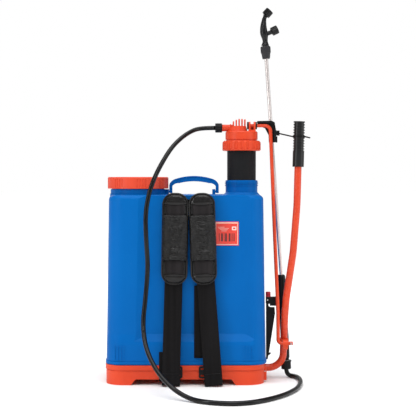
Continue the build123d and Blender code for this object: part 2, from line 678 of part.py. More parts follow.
def make_link_clamp():
    y_tube = PIVOT_Y + TUBE_LEAN * (CRANK_Z - PIVOT_Z)
    z0 = CRANK_Z - 7.6
    z1 = CRANK_Z + 7.6
    body = box(214.3, 233.5, y_tube - 11, y_tube + 12, z0, z1)
    body = fillet(body.edges().filter_by(Axis.Z), 3)
    inward = Vector(0, PIVOT_Y - CRANK_Y, PIVOT_Z - CRANK_Z).normalized()
    slot_end = Vector(0, CRANK_Y, CRANK_Z) + inward * ROD_SLOT
    ear = box(219.5, 231.5, CRANK_Y, y_tube - 8, z0, z1)
    ear += bar((219.5, CRANK_Y, CRANK_Z), (231.5, CRANK_Y, CRANK_Z), 15.2)
    ear += bar((219.5, slot_end.Y, slot_end.Z), (231.5, slot_end.Y, slot_end.Z), 15.2)
    body += ear
    slot_r = ROD_D / 2 + 1.3
    across = Vector(0, -inward.Z, inward.Y) * slot_r
    corners = []
    for centre, sign in ((Vector(0, CRANK_Y, CRANK_Z), 1), (slot_end, 1), (slot_end, -1),
                         (Vector(0, CRANK_Y, CRANK_Z), -1)):
        point = centre + across * sign
        corners.append((point.Y, point.Z))
    body -= prism_x(corners, 200, 250)
    body -= bar((200, CRANK_Y, CRANK_Z), (250, CRANK_Y, CRANK_Z), 2 * slot_r)
    body -= bar((200, slot_end.Y, slot_end.Z), (250, slot_end.Y, slot_end.Z), 2 * slot_r)
    return body


LEVER_SOLID = make_lever_tube()
LEVER_CORE = sweep(
    Plane(origin=(70.0, PIVOT_Y, PIVOT_Z), z_dir=(1, 0, 0)) * Circle(LEVER_D / 2 + 0.02),
    FilletPolyline((70.0, PIVOT_Y, PIVOT_Z), (221.5, PIVOT_Y, PIVOT_Z), (225.0, LEVER_Y, 150.0),
                   (228.0, LEVER_Y, 188.0), radius=[34, 60]))


def make_cable_tie():
    """Thin tie from the grip to the clip's peg; its open hook lets go when the lever swings."""
    low = Vector(*GRIP_LOW)
    axis = (Vector(*GRIP_TOP) - low).normalized()
    centre = low + axis * 68.4
    plane = Plane(origin=centre, z_dir=axis)
    band = plane * (Cylinder(14.4, 4.2) - Cylinder(12.9, 6))
    tail = bar((centre.X + 13.6, LEVER_Y - 3, centre.Z), (centre.X + 25, LEVER_Y - 6, centre.Z - 3), 3.2)
    hook_y = LANCE_Y - 4.8
    hook = box(207.3, 213.8, hook_y - 5.6, hook_y + 5, 558.8, 570.2)
    hook -= box(200, 220, hook_y - 3.2, hook_y + 20, 564.5 - 3.4, 564.5 + 3.4)
    strap = bar((212.6, hook_y - 4.6, 563.5), (centre.X - 13.0, LEVER_Y + 3.0, centre.Z), 3.2)
    strap -= plane * Cylinder(12.9, 12)
    return band + tail + hook + strap


save("lever_tube", LEVER_SOLID)
save("lever_grip", make_lever_grip())
save("link_clamp", make_link_clamp() - LEVER_CORE)
save("shaft_collar", bar((103, PIVOT_Y, PIVOT_Z), (109, PIVOT_Y, PIVOT_Z), 23)
     - bar((100, PIVOT_Y, PIVOT_Z), (112, PIVOT_Y, PIVOT_Z), LEVER_D))
save("cable_tie", make_cable_tie())


# ---------------------------------------------------------------- lance and nozzles
LANCE_PLANE = axis_plane(LANCE_LOW, LANCE_TOP, LANCE_Y)
LANCE_LENGTH = hypot(LANCE_TOP[0] - LANCE_LOW[0], LANCE_TOP[1] - LANCE_LOW[1])


def make_lance_tube():
    tube = Cylinder(LANCE_D / 2, LANCE_LENGTH + 26, align=(Align.CENTER, Align.CENTER, Align.MIN))
    tube -= Cylinder(LANCE_D / 2 - 1, LANCE_LENGTH + 30, align=(Align.CENTER, Align.CENTER, Align.MIN))
    return LANCE_PLANE * Pos(0, 0, -14) * tube


def make_lance_nut():
    foot = LANCE_LENGTH
    profile = [(4.1, foot), (8.2, foot), (8.9, foot + 2), (10.3, foot + 12), (11.5, foot + 14),
               (11.5, foot + 27), (10.6, foot + 28.2), (4.1, foot + 28.2)]
    nut = turned(profile, Plane.XY)
    nut -= flutes(18, 12.4, 2.6, foot + 14.6, foot + 26)
    return LANCE_PLANE * nut


NOZZLE_TOP = (181.6, 834.2)
NOZZLE_TOP_DIR = Vector(0.68, 0, 0.74).normalized()
NOZZLE_SIDE = (196.0, 796.4)
NOZZLE_SIDE_DIR = Vector(0.90, 0, 0.43).normalized()
CAP_LENGTH = 15.0


def outlet_plane(foot, direction):
    return Plane(origin=(foot[0], LANCE_Y, foot[1]), x_dir=(0, 1, 0), z_dir=direction)


TOP_OUTLET = outlet_plane(NOZZLE_TOP, NOZZLE_TOP_DIR)
SIDE_OUTLET = outlet_plane(NOZZLE_SIDE, NOZZLE_SIDE_DIR)


# nozzle body from foot to tip: middle, height and radius of each section
NOZZLE_BODY = ((181.3, 764.5, 8.7), (181.1, 770.0, 7.3), (180.9, 777.0, 6.1), (179.7, 785.0, 7.8),
               (178.4, 793.0, 8.8), (177.4, 801.0, 8.3), (177.0, 809.0, 7.3), (177.6, 818.0, 6.0),
               (179.0, 828.0, 4.8))


def make_nozzle_head():
    foot = LANCE_PLANE.origin + LANCE_PLANE.z_dir * (LANCE_LENGTH + 28.2)
    body = bar(tuple(foot), (NOZZLE_BODY[1][0], LANCE_Y, NOZZLE_BODY[1][1]), 13.0)
    body += loft([Plane(origin=(x, LANCE_Y, z)) * Circle(radius) for x, z, radius in NOZZLE_BODY])
    body += bar((178.6, LANCE_Y, 824.5), (NOZZLE_TOP[0], LANCE_Y, NOZZLE_TOP[1]), 9.4)
    body += bar((180.0, LANCE_Y, 790), (NOZZLE_SIDE[0], LANCE_Y, NOZZLE_SIDE[1]), 10)
    for plane in (TOP_OUTLET, SIDE_OUTLET):
        body += plane * Pos(0, 0, -1) * Cylinder(6.9, 1.0, align=(Align.CENTER, Align.CENTER, Align.MIN))
        body += plane * Cylinder(6.1, 7.4, align=(Align.CENTER, Align.CENTER, Align.MIN))
        body -= plane * Pos(0, 0, -6) * Cylinder(2.0, 14, align=(Align.CENTER, Align.CENTER, Align.MIN))
    return body


def make_nozzle_cap(plane):
    cap = Pos(0, 0, 0.3) * Cylinder(9.9, CAP_LENGTH, align=(Align.CENTER, Align.CENTER, Align.MIN))
    cap = fillet(cap.edges().filter_by(GeomType.CIRCLE).sort_by(Axis.Z)[-1], 1.6)
    cap -= Cylinder(6.4, 11.0, align=(Align.CENTER, Align.CENTER, Align.MIN))
    cap -= Pos(0, 0, 10) * Cylinder(0.9, 10, align=(Align.CENTER, Align.CENTER, Align.MIN))
    cap -= Pos(0, 0, CAP_LENGTH + 0.3) * Cone(2.0, 4.6, 3.6)
    cap -= flutes(12, 10.9, 3.4, 1.6, 12.2)
    return plane * cap


def make_nozzle_cores():
    cores = []
    for plane in (TOP_OUTLET, SIDE_OUTLET):
        core = Cylinder(5.2, 2.6, align=(Align.CENTER, Align.CENTER, Align.MIN))
        core -= Cylinder(1.2, 4, align=(Align.CENTER, Align.CENTER, Align.MIN))
        cores.append(plane * Pos(0, 0, 7.6) * core)
    return cores


save("lance_tube", make_lance_tube())
save("lance_nut", make_lance_nut())
save("nozzle_head", make_nozzle_head())
save("nozzle_cores", make_nozzle_cores())
save("nozzle_cap_top", make_nozzle_cap(TOP_OUTLET))
save("nozzle_cap_side", make_nozzle_cap(SIDE_OUTLET))


# ---------------------------------------------------------------- trigger handle
HANDLE_PLANE = axis_plane(GRIP_FOOT, LANCE_LOW, LANCE_Y)
HANDLE_LENGTH = hypot(LANCE_LOW[0] - GRIP_FOOT[0], LANCE_LOW[1] - GRIP_FOOT[1])
TRIGGER_PIN = (187.2, 181.0)
STEM_Z = 173.5


def trigger_pin(half_length, d):
    x, z = TRIGGER_PIN
    return bar((x, LANCE_Y - half_length, z), (x, LANCE_Y + half_length, z), d)


def make_handle_body():
    length = HANDLE_LENGTH
    profile = [(0, 20.6), (7.4, 20.6), (7.6, 23), (9.0, 27), (9.5, 40), (9.6, 70), (9.3, 110), (9.3, 150),
               (9.6, 200), (9.0, length - 4), (7.6, length), (0, length)]
    body = HANDLE_PLANE * turned(profile, Plane.XY)
    # valve block that reaches towards the trigger
    body += box(192.6, 222, LANCE_Y - 7, LANCE_Y + 7, 167.5, 187.8)
    body += box(183.2, 194.5, LANCE_Y - 7, LANCE_Y + 7, 185.4, 187.8)
    for side in (-1, 1):
        y0 = LANCE_Y + side * 5.4
        y1 = LANCE_Y + side * 7.4
        body += slab([(183.4, 172), (183.4, 187), (194, 187), (194, 172)], min(y0, y1), max(y0, y1))
    # liquid passages
    body -= HANDLE_PLANE * Pos(0, 0, 15) * Cylinder(5.2, 120, align=(Align.CENTER, Align.CENTER, Align.MIN))
    body -= HANDLE_PLANE * Pos(0, 0, 130) * Cylinder(3.0, 60, align=(Align.CENTER, Align.CENTER, Align.MIN))
    body -= LANCE_PLANE * Pos(0, 0, -32) * Cylinder(LANCE_D / 2 + 0.02, 60,
                                                    align=(Align.CENTER, Align.CENTER, Align.MIN))
    # chamber of the valve stem and its spring
    body -= bar((193.8, LANCE_Y, STEM_Z), (216, LANCE_Y, STEM_Z), 8.4)
    body -= bar((188, LANCE_Y, STEM_Z), (194, LANCE_Y, STEM_Z), 4.4)
    return body - trigger_pin(12, 3.2)


def make_handle_collar():
    nut = make_hose_nut(HANDLE_PLANE, 18.6, 22.6)
    nut += HANDLE_PLANE * Pos(0, 0, 16.8) * Cylinder(12.8, 2.6, align=(Align.CENTER, Align.CENTER, Align.MIN))
    nut -= HANDLE_PLANE * Pos(0, 0, 9) * Cylinder(7.0, 20, align=(Align.CENTER, Align.CENTER, Align.MIN))
    bore = Pos(0, 0, -1) * Cylinder(3.4, 20, align=(Align.CENTER, Align.CENTER, Align.MIN))
    return nut - HANDLE_PLANE * bore


def make_handle_barb():
    barb = Pos(0, 0, 9.4) * Cylinder(6.8, 10.8, align=(Align.CENTER, Align.CENTER, Align.MIN))
    barb += Pos(0, 0, 1.0) * Cylinder(3.3, 9, align=(Align.CENTER, Align.CENTER, Align.MIN))
    return HANDLE_PLANE * (barb - Cylinder(2.0, 60))


def make_handle_strainer():
    cup = Pos(0, 0, 22) * Cylinder(4.6, 60, align=(Align.CENTER, Align.CENTER, Align.MIN))
    cup -= Pos(0, 0, 20) * Cylinder(3.6, 60, align=(Align.CENTER, Align.CENTER, Align.MIN))
    for row in range(4):
        for n in range(4):
            cup -= Pos(0, 0, 32 + 11 * row) * Rot(0, 0, 45 * n) * Box(12, 1.6, 8)
    return HANDLE_PLANE * cup


def make_trigger():
    outline = [(184.0, 171.5), (184.0, 184.4), (189.6, 184.4), (189.4, 172.0), (189.6, 165.8), (195, 163.6),
               (203.6, 163.4), (204.6, 150), (198.6, 110), (191.4, 63), (190.4, 57.6), (194.6, 58.6),
               (194.4, 55.8), (189.4, 52.6), (187.4, 43.5), (184.6, 43.5), (184.2, 60)]
    plate = slab(outline, LANCE_Y - 5, LANCE_Y + 5)
    return plate - trigger_pin(12, 3.12)


def make_valve_stem():
    stem = bar((190.0, LANCE_Y, STEM_Z), (208, LANCE_Y, STEM_Z), 3.6)
    return stem + bar((207, LANCE_Y, STEM_Z), (211, LANCE_Y, STEM_Z), 7.8)


def make_valve_spring():
    coils = []
    for n in range(5):
        coils.append(Pos(194.4 + 2.4 * n, LANCE_Y, STEM_Z) * Rot(0, 90, 0) * Torus(3.1, 0.5))
    return coils


def make_trigger_lock():
    x = 188.8
    knob = post(x, LANCE_Y, 188.1, 199.6, 11.6)
    knob = fillet(knob.edges().filter_by(GeomType.CIRCLE).sort_by(Axis.Z)[-1], 1.5)
    return knob + box(x - 5.4, x + 5.4, LANCE_Y - 7.6, LANCE_Y + 2, 188.1, 191.4)


save("handle_body", make_handle_body())
save("handle_collar", make_handle_collar())
save("handle_barb", make_handle_barb())
save("handle_strainer", make_handle_strainer())
save("trigger_lever", make_trigger())
save("trigger_pin", trigger_pin(7.4, 3.0))
save("trigger_lock", make_trigger_lock())
save("valve_stem", make_valve_stem())
save("valve_spring", make_valve_spring())


# ---------------------------------------------------------------- straps and label
PAD_W = 53.5
PAD_L = 199.0
PAD_T = 11.0
PAD_BACK_Y = -90.0
STRAP_W = 40.0
STRAP_T = 1.8
ANCHOR_Y = RECESS_Y - 7.1


def make_pad(x, lean):
    outline = RectangleRounded(PAD_W, PAD_L, PAD_W / 2 - 3)
    pad = extrude(Plane.XZ * outline, amount=PAD_T)
    pad = fillet(pad.edges().group_by(Axis.Y)[0], 3.5)
    return Pos(x, PAD_BACK_Y, 326.8) * Rot(0, lean, 0) * pad


def make_webbing(x, z_turn, lean):
    """Webbing from behind the pad, down past the base and up again to its buckle."""
    route = [(0, -88.9, 300), (0, -88.9, 217), (0, -98, 140), (0, -111.5, 60), (0, -114.5, 9),
             (0, -108.8, 3.4), (0, -103.2, 9), (0, -103.2, 41)]
    path = FilletPolyline(*route, radius=[120, 200, 200, 3.4, 3.4, 3.4])
    section = Plane(origin=route[0], x_dir=(1, 0, 0), z_dir=(0, 0, -1)) * Rectangle(STRAP_W, STRAP_T)
    return Pos(x, 0, 0) * Rot(0, lean, 0) * sweep(section, path)


def make_buckle(x):
    frame = box(x - 25.5, x + 25.5, -101.4, -97.2, 17, 44)
    frame = fillet(frame.edges().filter_by(Axis.Y), 4)
    frame -= box(x - 21, x + 21, -110, -90, 36, 40)
    return frame - box(x - 21, x + 21, -110, -90, 21, 25)


def make_anchor():
    plate = box(-48, 64, RECESS_Y - 2.2, RECESS_Y, 396, 414)
    rail = bar((-46, ANCHOR_Y, 405), (62, ANCHOR_Y, 405), 5)
    lugs = [box(x - 2, x + 2, RECESS_Y - 10, RECESS_Y - 1, 400, 410) for x in (-46, 8, 62)]
    return plate + rail + lugs


def make_strap_loops():
    loops = []
    for x in (-20, 36):
        y = ANCHOR_Y
        outer = box(x - 18, x + 18, y - 4.6, y + 4.6, 375, 405) + bar((x - 18, y, 405), (x + 18, y, 405), 9.2)
        inner = box(x - 20, x + 20, y - 2.9, y + 2.9, 377, 405) + bar((x - 20, y, 405), (x + 20, y, 405), 5.8)
        loops.append(outer - inner)
    return loops


save("label_plate", box(65, 118.6, RECESS_Y - 0.4, RECESS_Y, 311, 364.4))
save("shoulder_pad_left", make_pad(-23.4, 1.0))
save("shoulder_pad_right", make_pad(38.6, -1.7))
save("strap_webbing_left", make_webbing(-32.2, 0, 1.4))
save("strap_webbing_right", make_webbing(63.2, 0, -4.5))
save("strap_tail_left", box(-58.5, -18.5, -106.3, -104.7, 12, 77))
save("strap_tail_right", prism_x([(-83.2, 222), (-84.8, 222), (-92.2, 61), (-90.6, 61)], 19, 57))
save("strap_buckles", [make_buckle(-32), make_buckle(55)])
save("strap_anchor", make_anchor())
save("strap_loops", make_strap_loops())


# ---------------------------------------------------------------- delivery hose
def bend_radii(route):
    """Each bend is as large as its two runs allow."""
    radii = []
    for before, here, after in zip(route, route[1:], route[2:]):
        run_in = Vector(*here) - Vector(*before)
        run_out = Vector(*after) - Vector(*here)
        half_turn = radians(run_in.get_angle(run_out) / 2)
        radii.append(0.45 * min(run_in.length, run_out.length) / tan(half_turn))
    return radii


def make_hose():
    radii = bend_radii(HOSE_ROUTE)
    path = FilletPolyline(*HOSE_ROUTE, radius=radii)
    first = Vector(*HOSE_ROUTE[1]) - Vector(*HOSE_ROUTE[0])
    section = Plane(origin=HOSE_ROUTE[0], z_dir=first) * Circle(HOSE_D / 2)
    hose = sweep(section, path)
    expected = path.length * 3.14159 * HOSE_D ** 2 / 4
    print("hose length", round(path.length, 1), "volume ratio", round(hose.volume / expected, 4))
    print("hose bend radii", [round(r) for r in radii])
    print("hose runs", [round((Vector(*b) - Vector(*a)).length) for a, b in zip(HOSE_ROUTE, HOSE_ROUTE[1:])])
    return hose


save("delivery_hose", make_hose())
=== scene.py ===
"""A lever-operated knapsack sprayer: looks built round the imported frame. Metres, in the frame's axes."""

import math

import bmesh
import bpy
from mathutils import Matrix, Vector, noise
from mathutils.bvhtree import BVHTree


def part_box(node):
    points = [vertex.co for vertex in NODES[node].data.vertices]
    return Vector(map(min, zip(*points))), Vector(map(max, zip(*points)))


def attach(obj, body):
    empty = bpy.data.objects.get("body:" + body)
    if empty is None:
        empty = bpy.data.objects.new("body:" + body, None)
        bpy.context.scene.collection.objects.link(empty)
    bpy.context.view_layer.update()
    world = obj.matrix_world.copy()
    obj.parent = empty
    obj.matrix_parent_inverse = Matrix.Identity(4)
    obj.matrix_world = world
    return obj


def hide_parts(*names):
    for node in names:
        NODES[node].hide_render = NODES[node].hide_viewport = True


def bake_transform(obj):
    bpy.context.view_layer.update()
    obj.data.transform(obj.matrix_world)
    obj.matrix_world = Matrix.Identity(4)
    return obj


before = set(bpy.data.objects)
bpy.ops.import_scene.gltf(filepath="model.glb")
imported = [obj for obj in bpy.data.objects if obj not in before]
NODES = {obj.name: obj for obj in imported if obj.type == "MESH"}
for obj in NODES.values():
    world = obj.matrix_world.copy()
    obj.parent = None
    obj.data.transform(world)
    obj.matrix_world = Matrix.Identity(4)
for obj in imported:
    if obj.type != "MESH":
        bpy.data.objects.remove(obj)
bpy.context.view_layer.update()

# The saved parts' origin, seen from the middle of the tank, where the dimensions below start
ORIGIN = Vector((0.0495, -0.0115, 0.0))


def tank_point(x, y, z):
    """A point measured in millimetres from the floor under the middle of the tank."""
    return Vector((x, y, z)) / 1000 - ORIGIN


# ---------------------------------------------------------------- material nodes
class Shader:
    """A principled material and short ways to add nodes to it."""

    def __init__(self, name, rough=0.5, **sockets):
        self.mat = bpy.data.materials.new(name)
        self.mat.use_nodes = True
        self.tree = self.mat.node_tree
        self.bsdf = next(n for n in self.tree.nodes if n.type == "BSDF_PRINCIPLED")
        self.bsdf.inputs["Roughness"].default_value = rough
        self.bsdf.inputs["Specular IOR Level"].default_value = 0.3
        for socket, value in sockets.items():
            self.bsdf.inputs[socket.replace("_", " ")].default_value = value
        self.coords = self.tree.nodes.new("ShaderNodeTexCoord").outputs["Object"]

    def link(self, value, socket):
        """Joins a node's output to a socket, or sets the socket to a number, a colour or a direction."""
        if isinstance(value, bpy.types.NodeSocket):
            self.tree.links.new(value, socket)
        elif hasattr(socket.default_value, "__len__") and len(socket.default_value) == 4:
            socket.default_value = (*value[:3], 1.0)
        else:
            socket.default_value = value

    def place(self, scale=(1, 1, 1), turn=(0, 0, 0), vector=None):
        """Coordinates stretched, then turned by degrees."""
        node = self.tree.nodes.new("ShaderNodeMapping")
        node.vector_type = "POINT"
        self.link(vector or self.coords, node.inputs["Vector"])
        node.inputs["Rotation"].default_value = [math.radians(a) for a in turn]
        node.inputs["Scale"].default_value = scale
        return node.outputs["Vector"]

    def noise(self, scale, detail=2.0, vector=None, rough=0.5):
        node = self.tree.nodes.new("ShaderNodeTexNoise")
        self.link(vector or self.coords, node.inputs["Vector"])
        node.inputs["Scale"].default_value = scale
        node.inputs["Detail"].default_value = detail
        node.inputs["Roughness"].default_value = rough
        return node.outputs["Fac"]

    def cells(self, scale):
        """How far a point lies from the border of its cell, in a mesh of small irregular cells."""
        node = self.tree.nodes.new("ShaderNodeTexVoronoi")
        node.feature = "DISTANCE_TO_EDGE"
        self.link(self.coords, node.inputs["Vector"])
        node.inputs["Scale"].default_value = scale
        return node.outputs["Distance"]

    def waves(self, spacing, axis, vector=None):
        """Bands one spacing apart along an axis: 0 to 1 and back."""
        node = self.tree.nodes.new("ShaderNodeTexWave")
        node.bands_direction = axis
        node.wave_profile = "SIN"
        self.link(vector or self.coords, node.inputs["Vector"])
        node.inputs["Scale"].default_value = math.pi / (10 * spacing)
        return node.outputs["Fac"]

    def math(self, operation, a, b=0.0):
        node = self.tree.nodes.new("ShaderNodeMath")
        node.operation = operation
        self.link(a, node.inputs[0])
        self.link(b, node.inputs[1])
        return node.outputs[0]

    def remap(self, value, low, high, to_low=0.0, to_high=1.0):
        """A value from low to high, brought to the second range and held inside it."""
        node = self.tree.nodes.new("ShaderNodeMapRange")
        self.link(value, node.inputs["Value"])
        limits = {"From Min": low, "From Max": high, "To Min": to_low, "To Max": to_high}
        for socket, number in limits.items():
            node.inputs[socket].default_value = number
        return node.outputs["Result"]

    def mix(self, share, a, b):
        """Colour a, with the given share of colour b."""
        node = self.tree.nodes.new("ShaderNodeMix")
        node.data_type = "RGBA"
        self.link(share, node.inputs[0])
        self.link(a, node.inputs[6])
        self.link(b, node.inputs[7])
        return node.outputs[2]

    def axis(self, which):
        node = self.tree.nodes.new("ShaderNodeSeparateXYZ")
        self.link(self.coords, node.inputs[0])
        return node.outputs[which]

    def band(self, value, low, high):
        """1 between low and high, 0 outside."""
        above = self.math("GREATER_THAN", value, low)
        return self.math("MULTIPLY", above, self.math("LESS_THAN", value, high))

    def color(self, value):
        self.link(value, self.bsdf.inputs["Base Color"])

    def rough(self, value):
        self.link(value, self.bsdf.inputs["Roughness"])

    def bump(self, height, depth, strength, under=None):
        """Relief of a height texture, over the relief under it."""
        node = self.tree.nodes.new("ShaderNodeBump")
        node.inputs["Strength"].default_value = strength
        node.inputs["Distance"].default_value = depth
        self.link(height, node.inputs["Height"])
        if under is not None:
            self.link(under, node.inputs["Normal"])
        self.link(node.outputs["Normal"], self.bsdf.inputs["Normal"])
        return node.outputs["Normal"]


def moulded(name, dark, light, rough, grain=0.00012, scuffs=0.0, scuff_color=(1, 1, 1), **sockets):
    """Moulded plastic: slow colour drift, a fine spark-eroded grain and a few rubbed places."""
    s = Shader(name, rough, **sockets)
    drift = s.remap(s.noise(9, 3), 0.3, 0.7)
    tone = s.mix(drift, dark, light)
    streaks = s.noise(60, 4, s.place(scale=(1, 1, 0.12), turn=(8, 12, 0)), 0.65)
    rubbed = s.math("MULTIPLY", s.remap(streaks, 0.62, 0.74), s.remap(s.noise(22, 2), 0.45, 0.62))
    rubbed = s.math("MULTIPLY", rubbed, scuffs)
    s.color(s.mix(rubbed, tone, scuff_color))
    wander = s.remap(s.noise(35, 3), 0.3, 0.7, rough - 0.05, rough + 0.07)
    s.rough(s.math("ADD", wander, s.math("MULTIPLY", rubbed, 0.3)))
    s.bump(s.noise(1500, 2), grain, 0.35, s.bump(s.noise(26, 2), 0.0006, 0.25))
    return s


# Linear colours: each material drifts between its dark and its light one
TANK_DARK = (0.0, 0.112, 0.405)
TANK_LIGHT = (0.0, 0.132, 0.455)
ORANGE_DARK = (0.66, 0.05, 0.012)
ORANGE_LIGHT = (0.75, 0.066, 0.017)
BLACK_DARK = (0.0045, 0.0045, 0.005)
BLACK_LIGHT = (0.009, 0.009, 0.0095)

# Spacings of the patterns, in metres
CHAMBER_RING = 0.0031
YARN_ROW = 0.0017
YARN_SLANT = 0.0012
YARN_ZIGZAG = 0.0068
DOT_ACROSS = 0.0026
DOT_ALONG = 0.0034
YARN_ANGLE = 38         # degrees either side of the strap's length
LANCE_LEAN = 4.06       # degrees


def tank_plastic():
    """Blow-moulded polyethylene: slightly wavy walls, satin skin, and fine scratches low down."""
    s = Shader("tank_polyethylene", 0.36, Specular_IOR_Level=0.07)
    drift = s.remap(s.noise(4.5, 3), 0.3, 0.7)
    tone = s.mix(drift, TANK_DARK, TANK_LIGHT)
    low = s.remap(s.axis("Z"), 0.16, 0.05)      # 0 above 160 mm, 1 below 50 mm
    hair = s.noise(90, 5, s.place(scale=(0.35, 1, 2.6), turn=(0, 24, 0)), 0.7)
    scratches = s.math("MULTIPLY", s.remap(hair, 0.66, 0.72), s.remap(s.noise(18, 2), 0.5, 0.62))
    scratches = s.math("MULTIPLY", scratches, s.math("ADD", 0.12, s.math("MULTIPLY", low, 0.3)))
    s.color(s.mix(scratches, tone, (0.25, 0.42, 0.72)))
    wander = s.remap(s.noise(28, 3), 0.3, 0.7, 0.34, 0.46)
    s.rough(s.math("ADD", wander, s.math("MULTIPLY", scratches, 0.5)))
    walls = s.bump(s.noise(11, 2), 0.0022, 0.3)
    s.bump(s.noise(1300, 2), 0.0001, 0.3, walls)
    return s.mat


def ribbed_chamber():
    """Turned look of the air chamber: fine rings round it, about 3 mm apart."""
    s = moulded("chamber_plastic", (0.007, 0.007, 0.008), (0.011, 0.011, 0.012), 0.58,
                Specular_IOR_Level=0.16)
    rings = s.waves(CHAMBER_RING, "Z")
    s.bump(rings, 0.0004, 0.6, s.bump(s.noise(1400, 2), 0.0001, 0.3))
    return s.mat


def brushed(name, tint, turn, scale, rough):
    """Drawn steel: hair lines and faint smears, in coordinates turned and then stretched."""
    s = Shader(name, rough, Metallic=1.0)
    along = s.place(scale=scale, vector=s.place(turn=turn))
    lines = s.noise(900, 2, along, 0.6)
    smear = s.noise(26, 3, along)
    s.color(s.mix(s.remap(smear, 0.35, 0.68), tint, [c * 0.78 for c in tint]))
    hair_lines = s.remap(lines, 0.3, 0.7, rough - 0.07, rough + 0.1)
    s.rough(s.math("ADD", hair_lines, s.remap(smear, 0.3, 0.7, 0, 0.08)))
    s.bump(lines, 0.00005, 0.25)
    return s.mat


def painted_tube():
    """Powder-coated steel: slight orange peel, thin chips showing primer."""
    s = Shader("orange_powder_coat", 0.3, Coat_Weight=0.12, Coat_Roughness=0.15)
    tone = s.mix(s.remap(s.noise(14, 2), 0.3, 0.7), (0.65, 0.051, 0.013), (0.73, 0.064, 0.019))
    specks = s.remap(s.noise(210, 5, rough=0.7), 0.70, 0.73)
    chips = s.math("MULTIPLY", specks, s.remap(s.noise(30, 2), 0.55, 0.65))
    s.color(s.mix(s.math("MULTIPLY", chips, 0.7), tone, (0.2, 0.17, 0.15)))
    wander = s.remap(s.noise(40, 3), 0.3, 0.7, 0.22, 0.34)
    s.rough(s.math("ADD", wander, s.math("MULTIPLY", chips, 0.35)))
    s.bump(s.noise(420, 2), 0.00018, 0.22)
    return s.mat


def webbing_fabric(name, lean, dark, light):
    """Woven strap: rows of raised yarns across the width, and yarns slanting one way and the other."""
    s = Shader(name, 0.62, Specular_IOR_Level=0.08)
    placed = s.place(turn=(0, -lean, 0))
    rows = s.waves(YARN_ROW, "Z", placed)
    slant_a = s.waves(YARN_SLANT, "X", s.place(turn=(0, YARN_ANGLE - lean, 0)))
    slant_b = s.waves(YARN_SLANT, "X", s.place(turn=(0, -YARN_ANGLE - lean, 0)))
    side = s.waves(YARN_ZIGZAG, "X", placed)
    other_side = s.math("SUBTRACT", 1, side)
    zigzag = s.math("ADD", s.math("MULTIPLY", slant_a, side), s.math("MULTIPLY", slant_b, other_side))
    yarn = s.math("ADD", s.math("MULTIPLY", zigzag, 0.7), s.math("MULTIPLY", rows, 0.3))
    fuzz = s.noise(2200, 3)
    tone = s.mix(s.remap(yarn, 0.15, 0.85), dark, light)
    long_bands = s.remap(s.noise(30, 2, s.place(scale=(4, 1, 0.1), turn=(0, -lean, 0))), 0.35, 0.65)
    s.color(s.mix(s.math("MULTIPLY", long_bands, 0.35), tone, [c * 1.7 for c in light]))
    s.rough(s.remap(yarn, 0, 1, 0.72, 0.52))
    s.bump(fuzz, 0.0001, 0.3, s.bump(yarn, 0.00035, 0.75))
    return s.mat


def vinyl(name, lean, dotted, rough, dark, light, crinkle=0.0008):
    """Soft vinyl with small pressed dots in rows, painted darker as shade in their hollows, and fine creases
    that catch the light.
    """
    s = Shader(name, rough, Coat_Weight=0.4, Coat_Roughness=0.07, Specular_IOR_Level=0.12)
    tone = s.mix(s.remap(s.noise(55, 3), 0.3, 0.7), dark, light)
    crease = s.noise(95, 4, s.place(scale=(1, 1, 0.55), turn=(0, 25 - lean, 0)), 0.6)
    ridge = s.math("ABSOLUTE", s.math("SUBTRACT", crease, 0.5))
    folds = s.bump(s.remap(ridge, 0, 0.12), crinkle, 0.5)
    leather = s.bump(s.cells(900), 0.0002, 0.3, folds)
    if dotted:
        placed = s.place(turn=(0, -lean, 0))
        dots = s.math("MULTIPLY", s.waves(DOT_ACROSS, "X", placed), s.waves(DOT_ALONG, "Z", placed))
        dot_hollows_and_shade = s.remap(dots, 0.45, 0.75)
        # The pressed dots are painted darker than the vinyl round them: painted shade in their hollows.
        tone = s.mix(dot_hollows_and_shade, tone, (0.003, 0.003, 0.003))
        leather = s.bump(s.math("SUBTRACT", 1, dot_hollows_and_shade), 0.0006, 0.7, leather)
    s.color(tone)
    s.rough(s.remap(s.noise(70, 3), 0.3, 0.7, rough - 0.1, rough + 0.12))
    return s.mat


def hose_rubber():
    """Smooth black rubber with a clear gloss."""
    s = Shader("hose_rubber", 0.3, Coat_Weight=0.3, Coat_Roughness=0.03, Specular_IOR_Level=0.12)
    s.color(s.mix(s.remap(s.noise(30, 3), 0.3, 0.7), (0.002, 0.002, 0.0022), (0.005, 0.005, 0.0055)))
    s.rough(s.remap(s.noise(60, 3), 0.3, 0.7, 0.26, 0.38))
    s.bump(s.noise(90, 2), 0.0001, 0.15)
    return s.mat


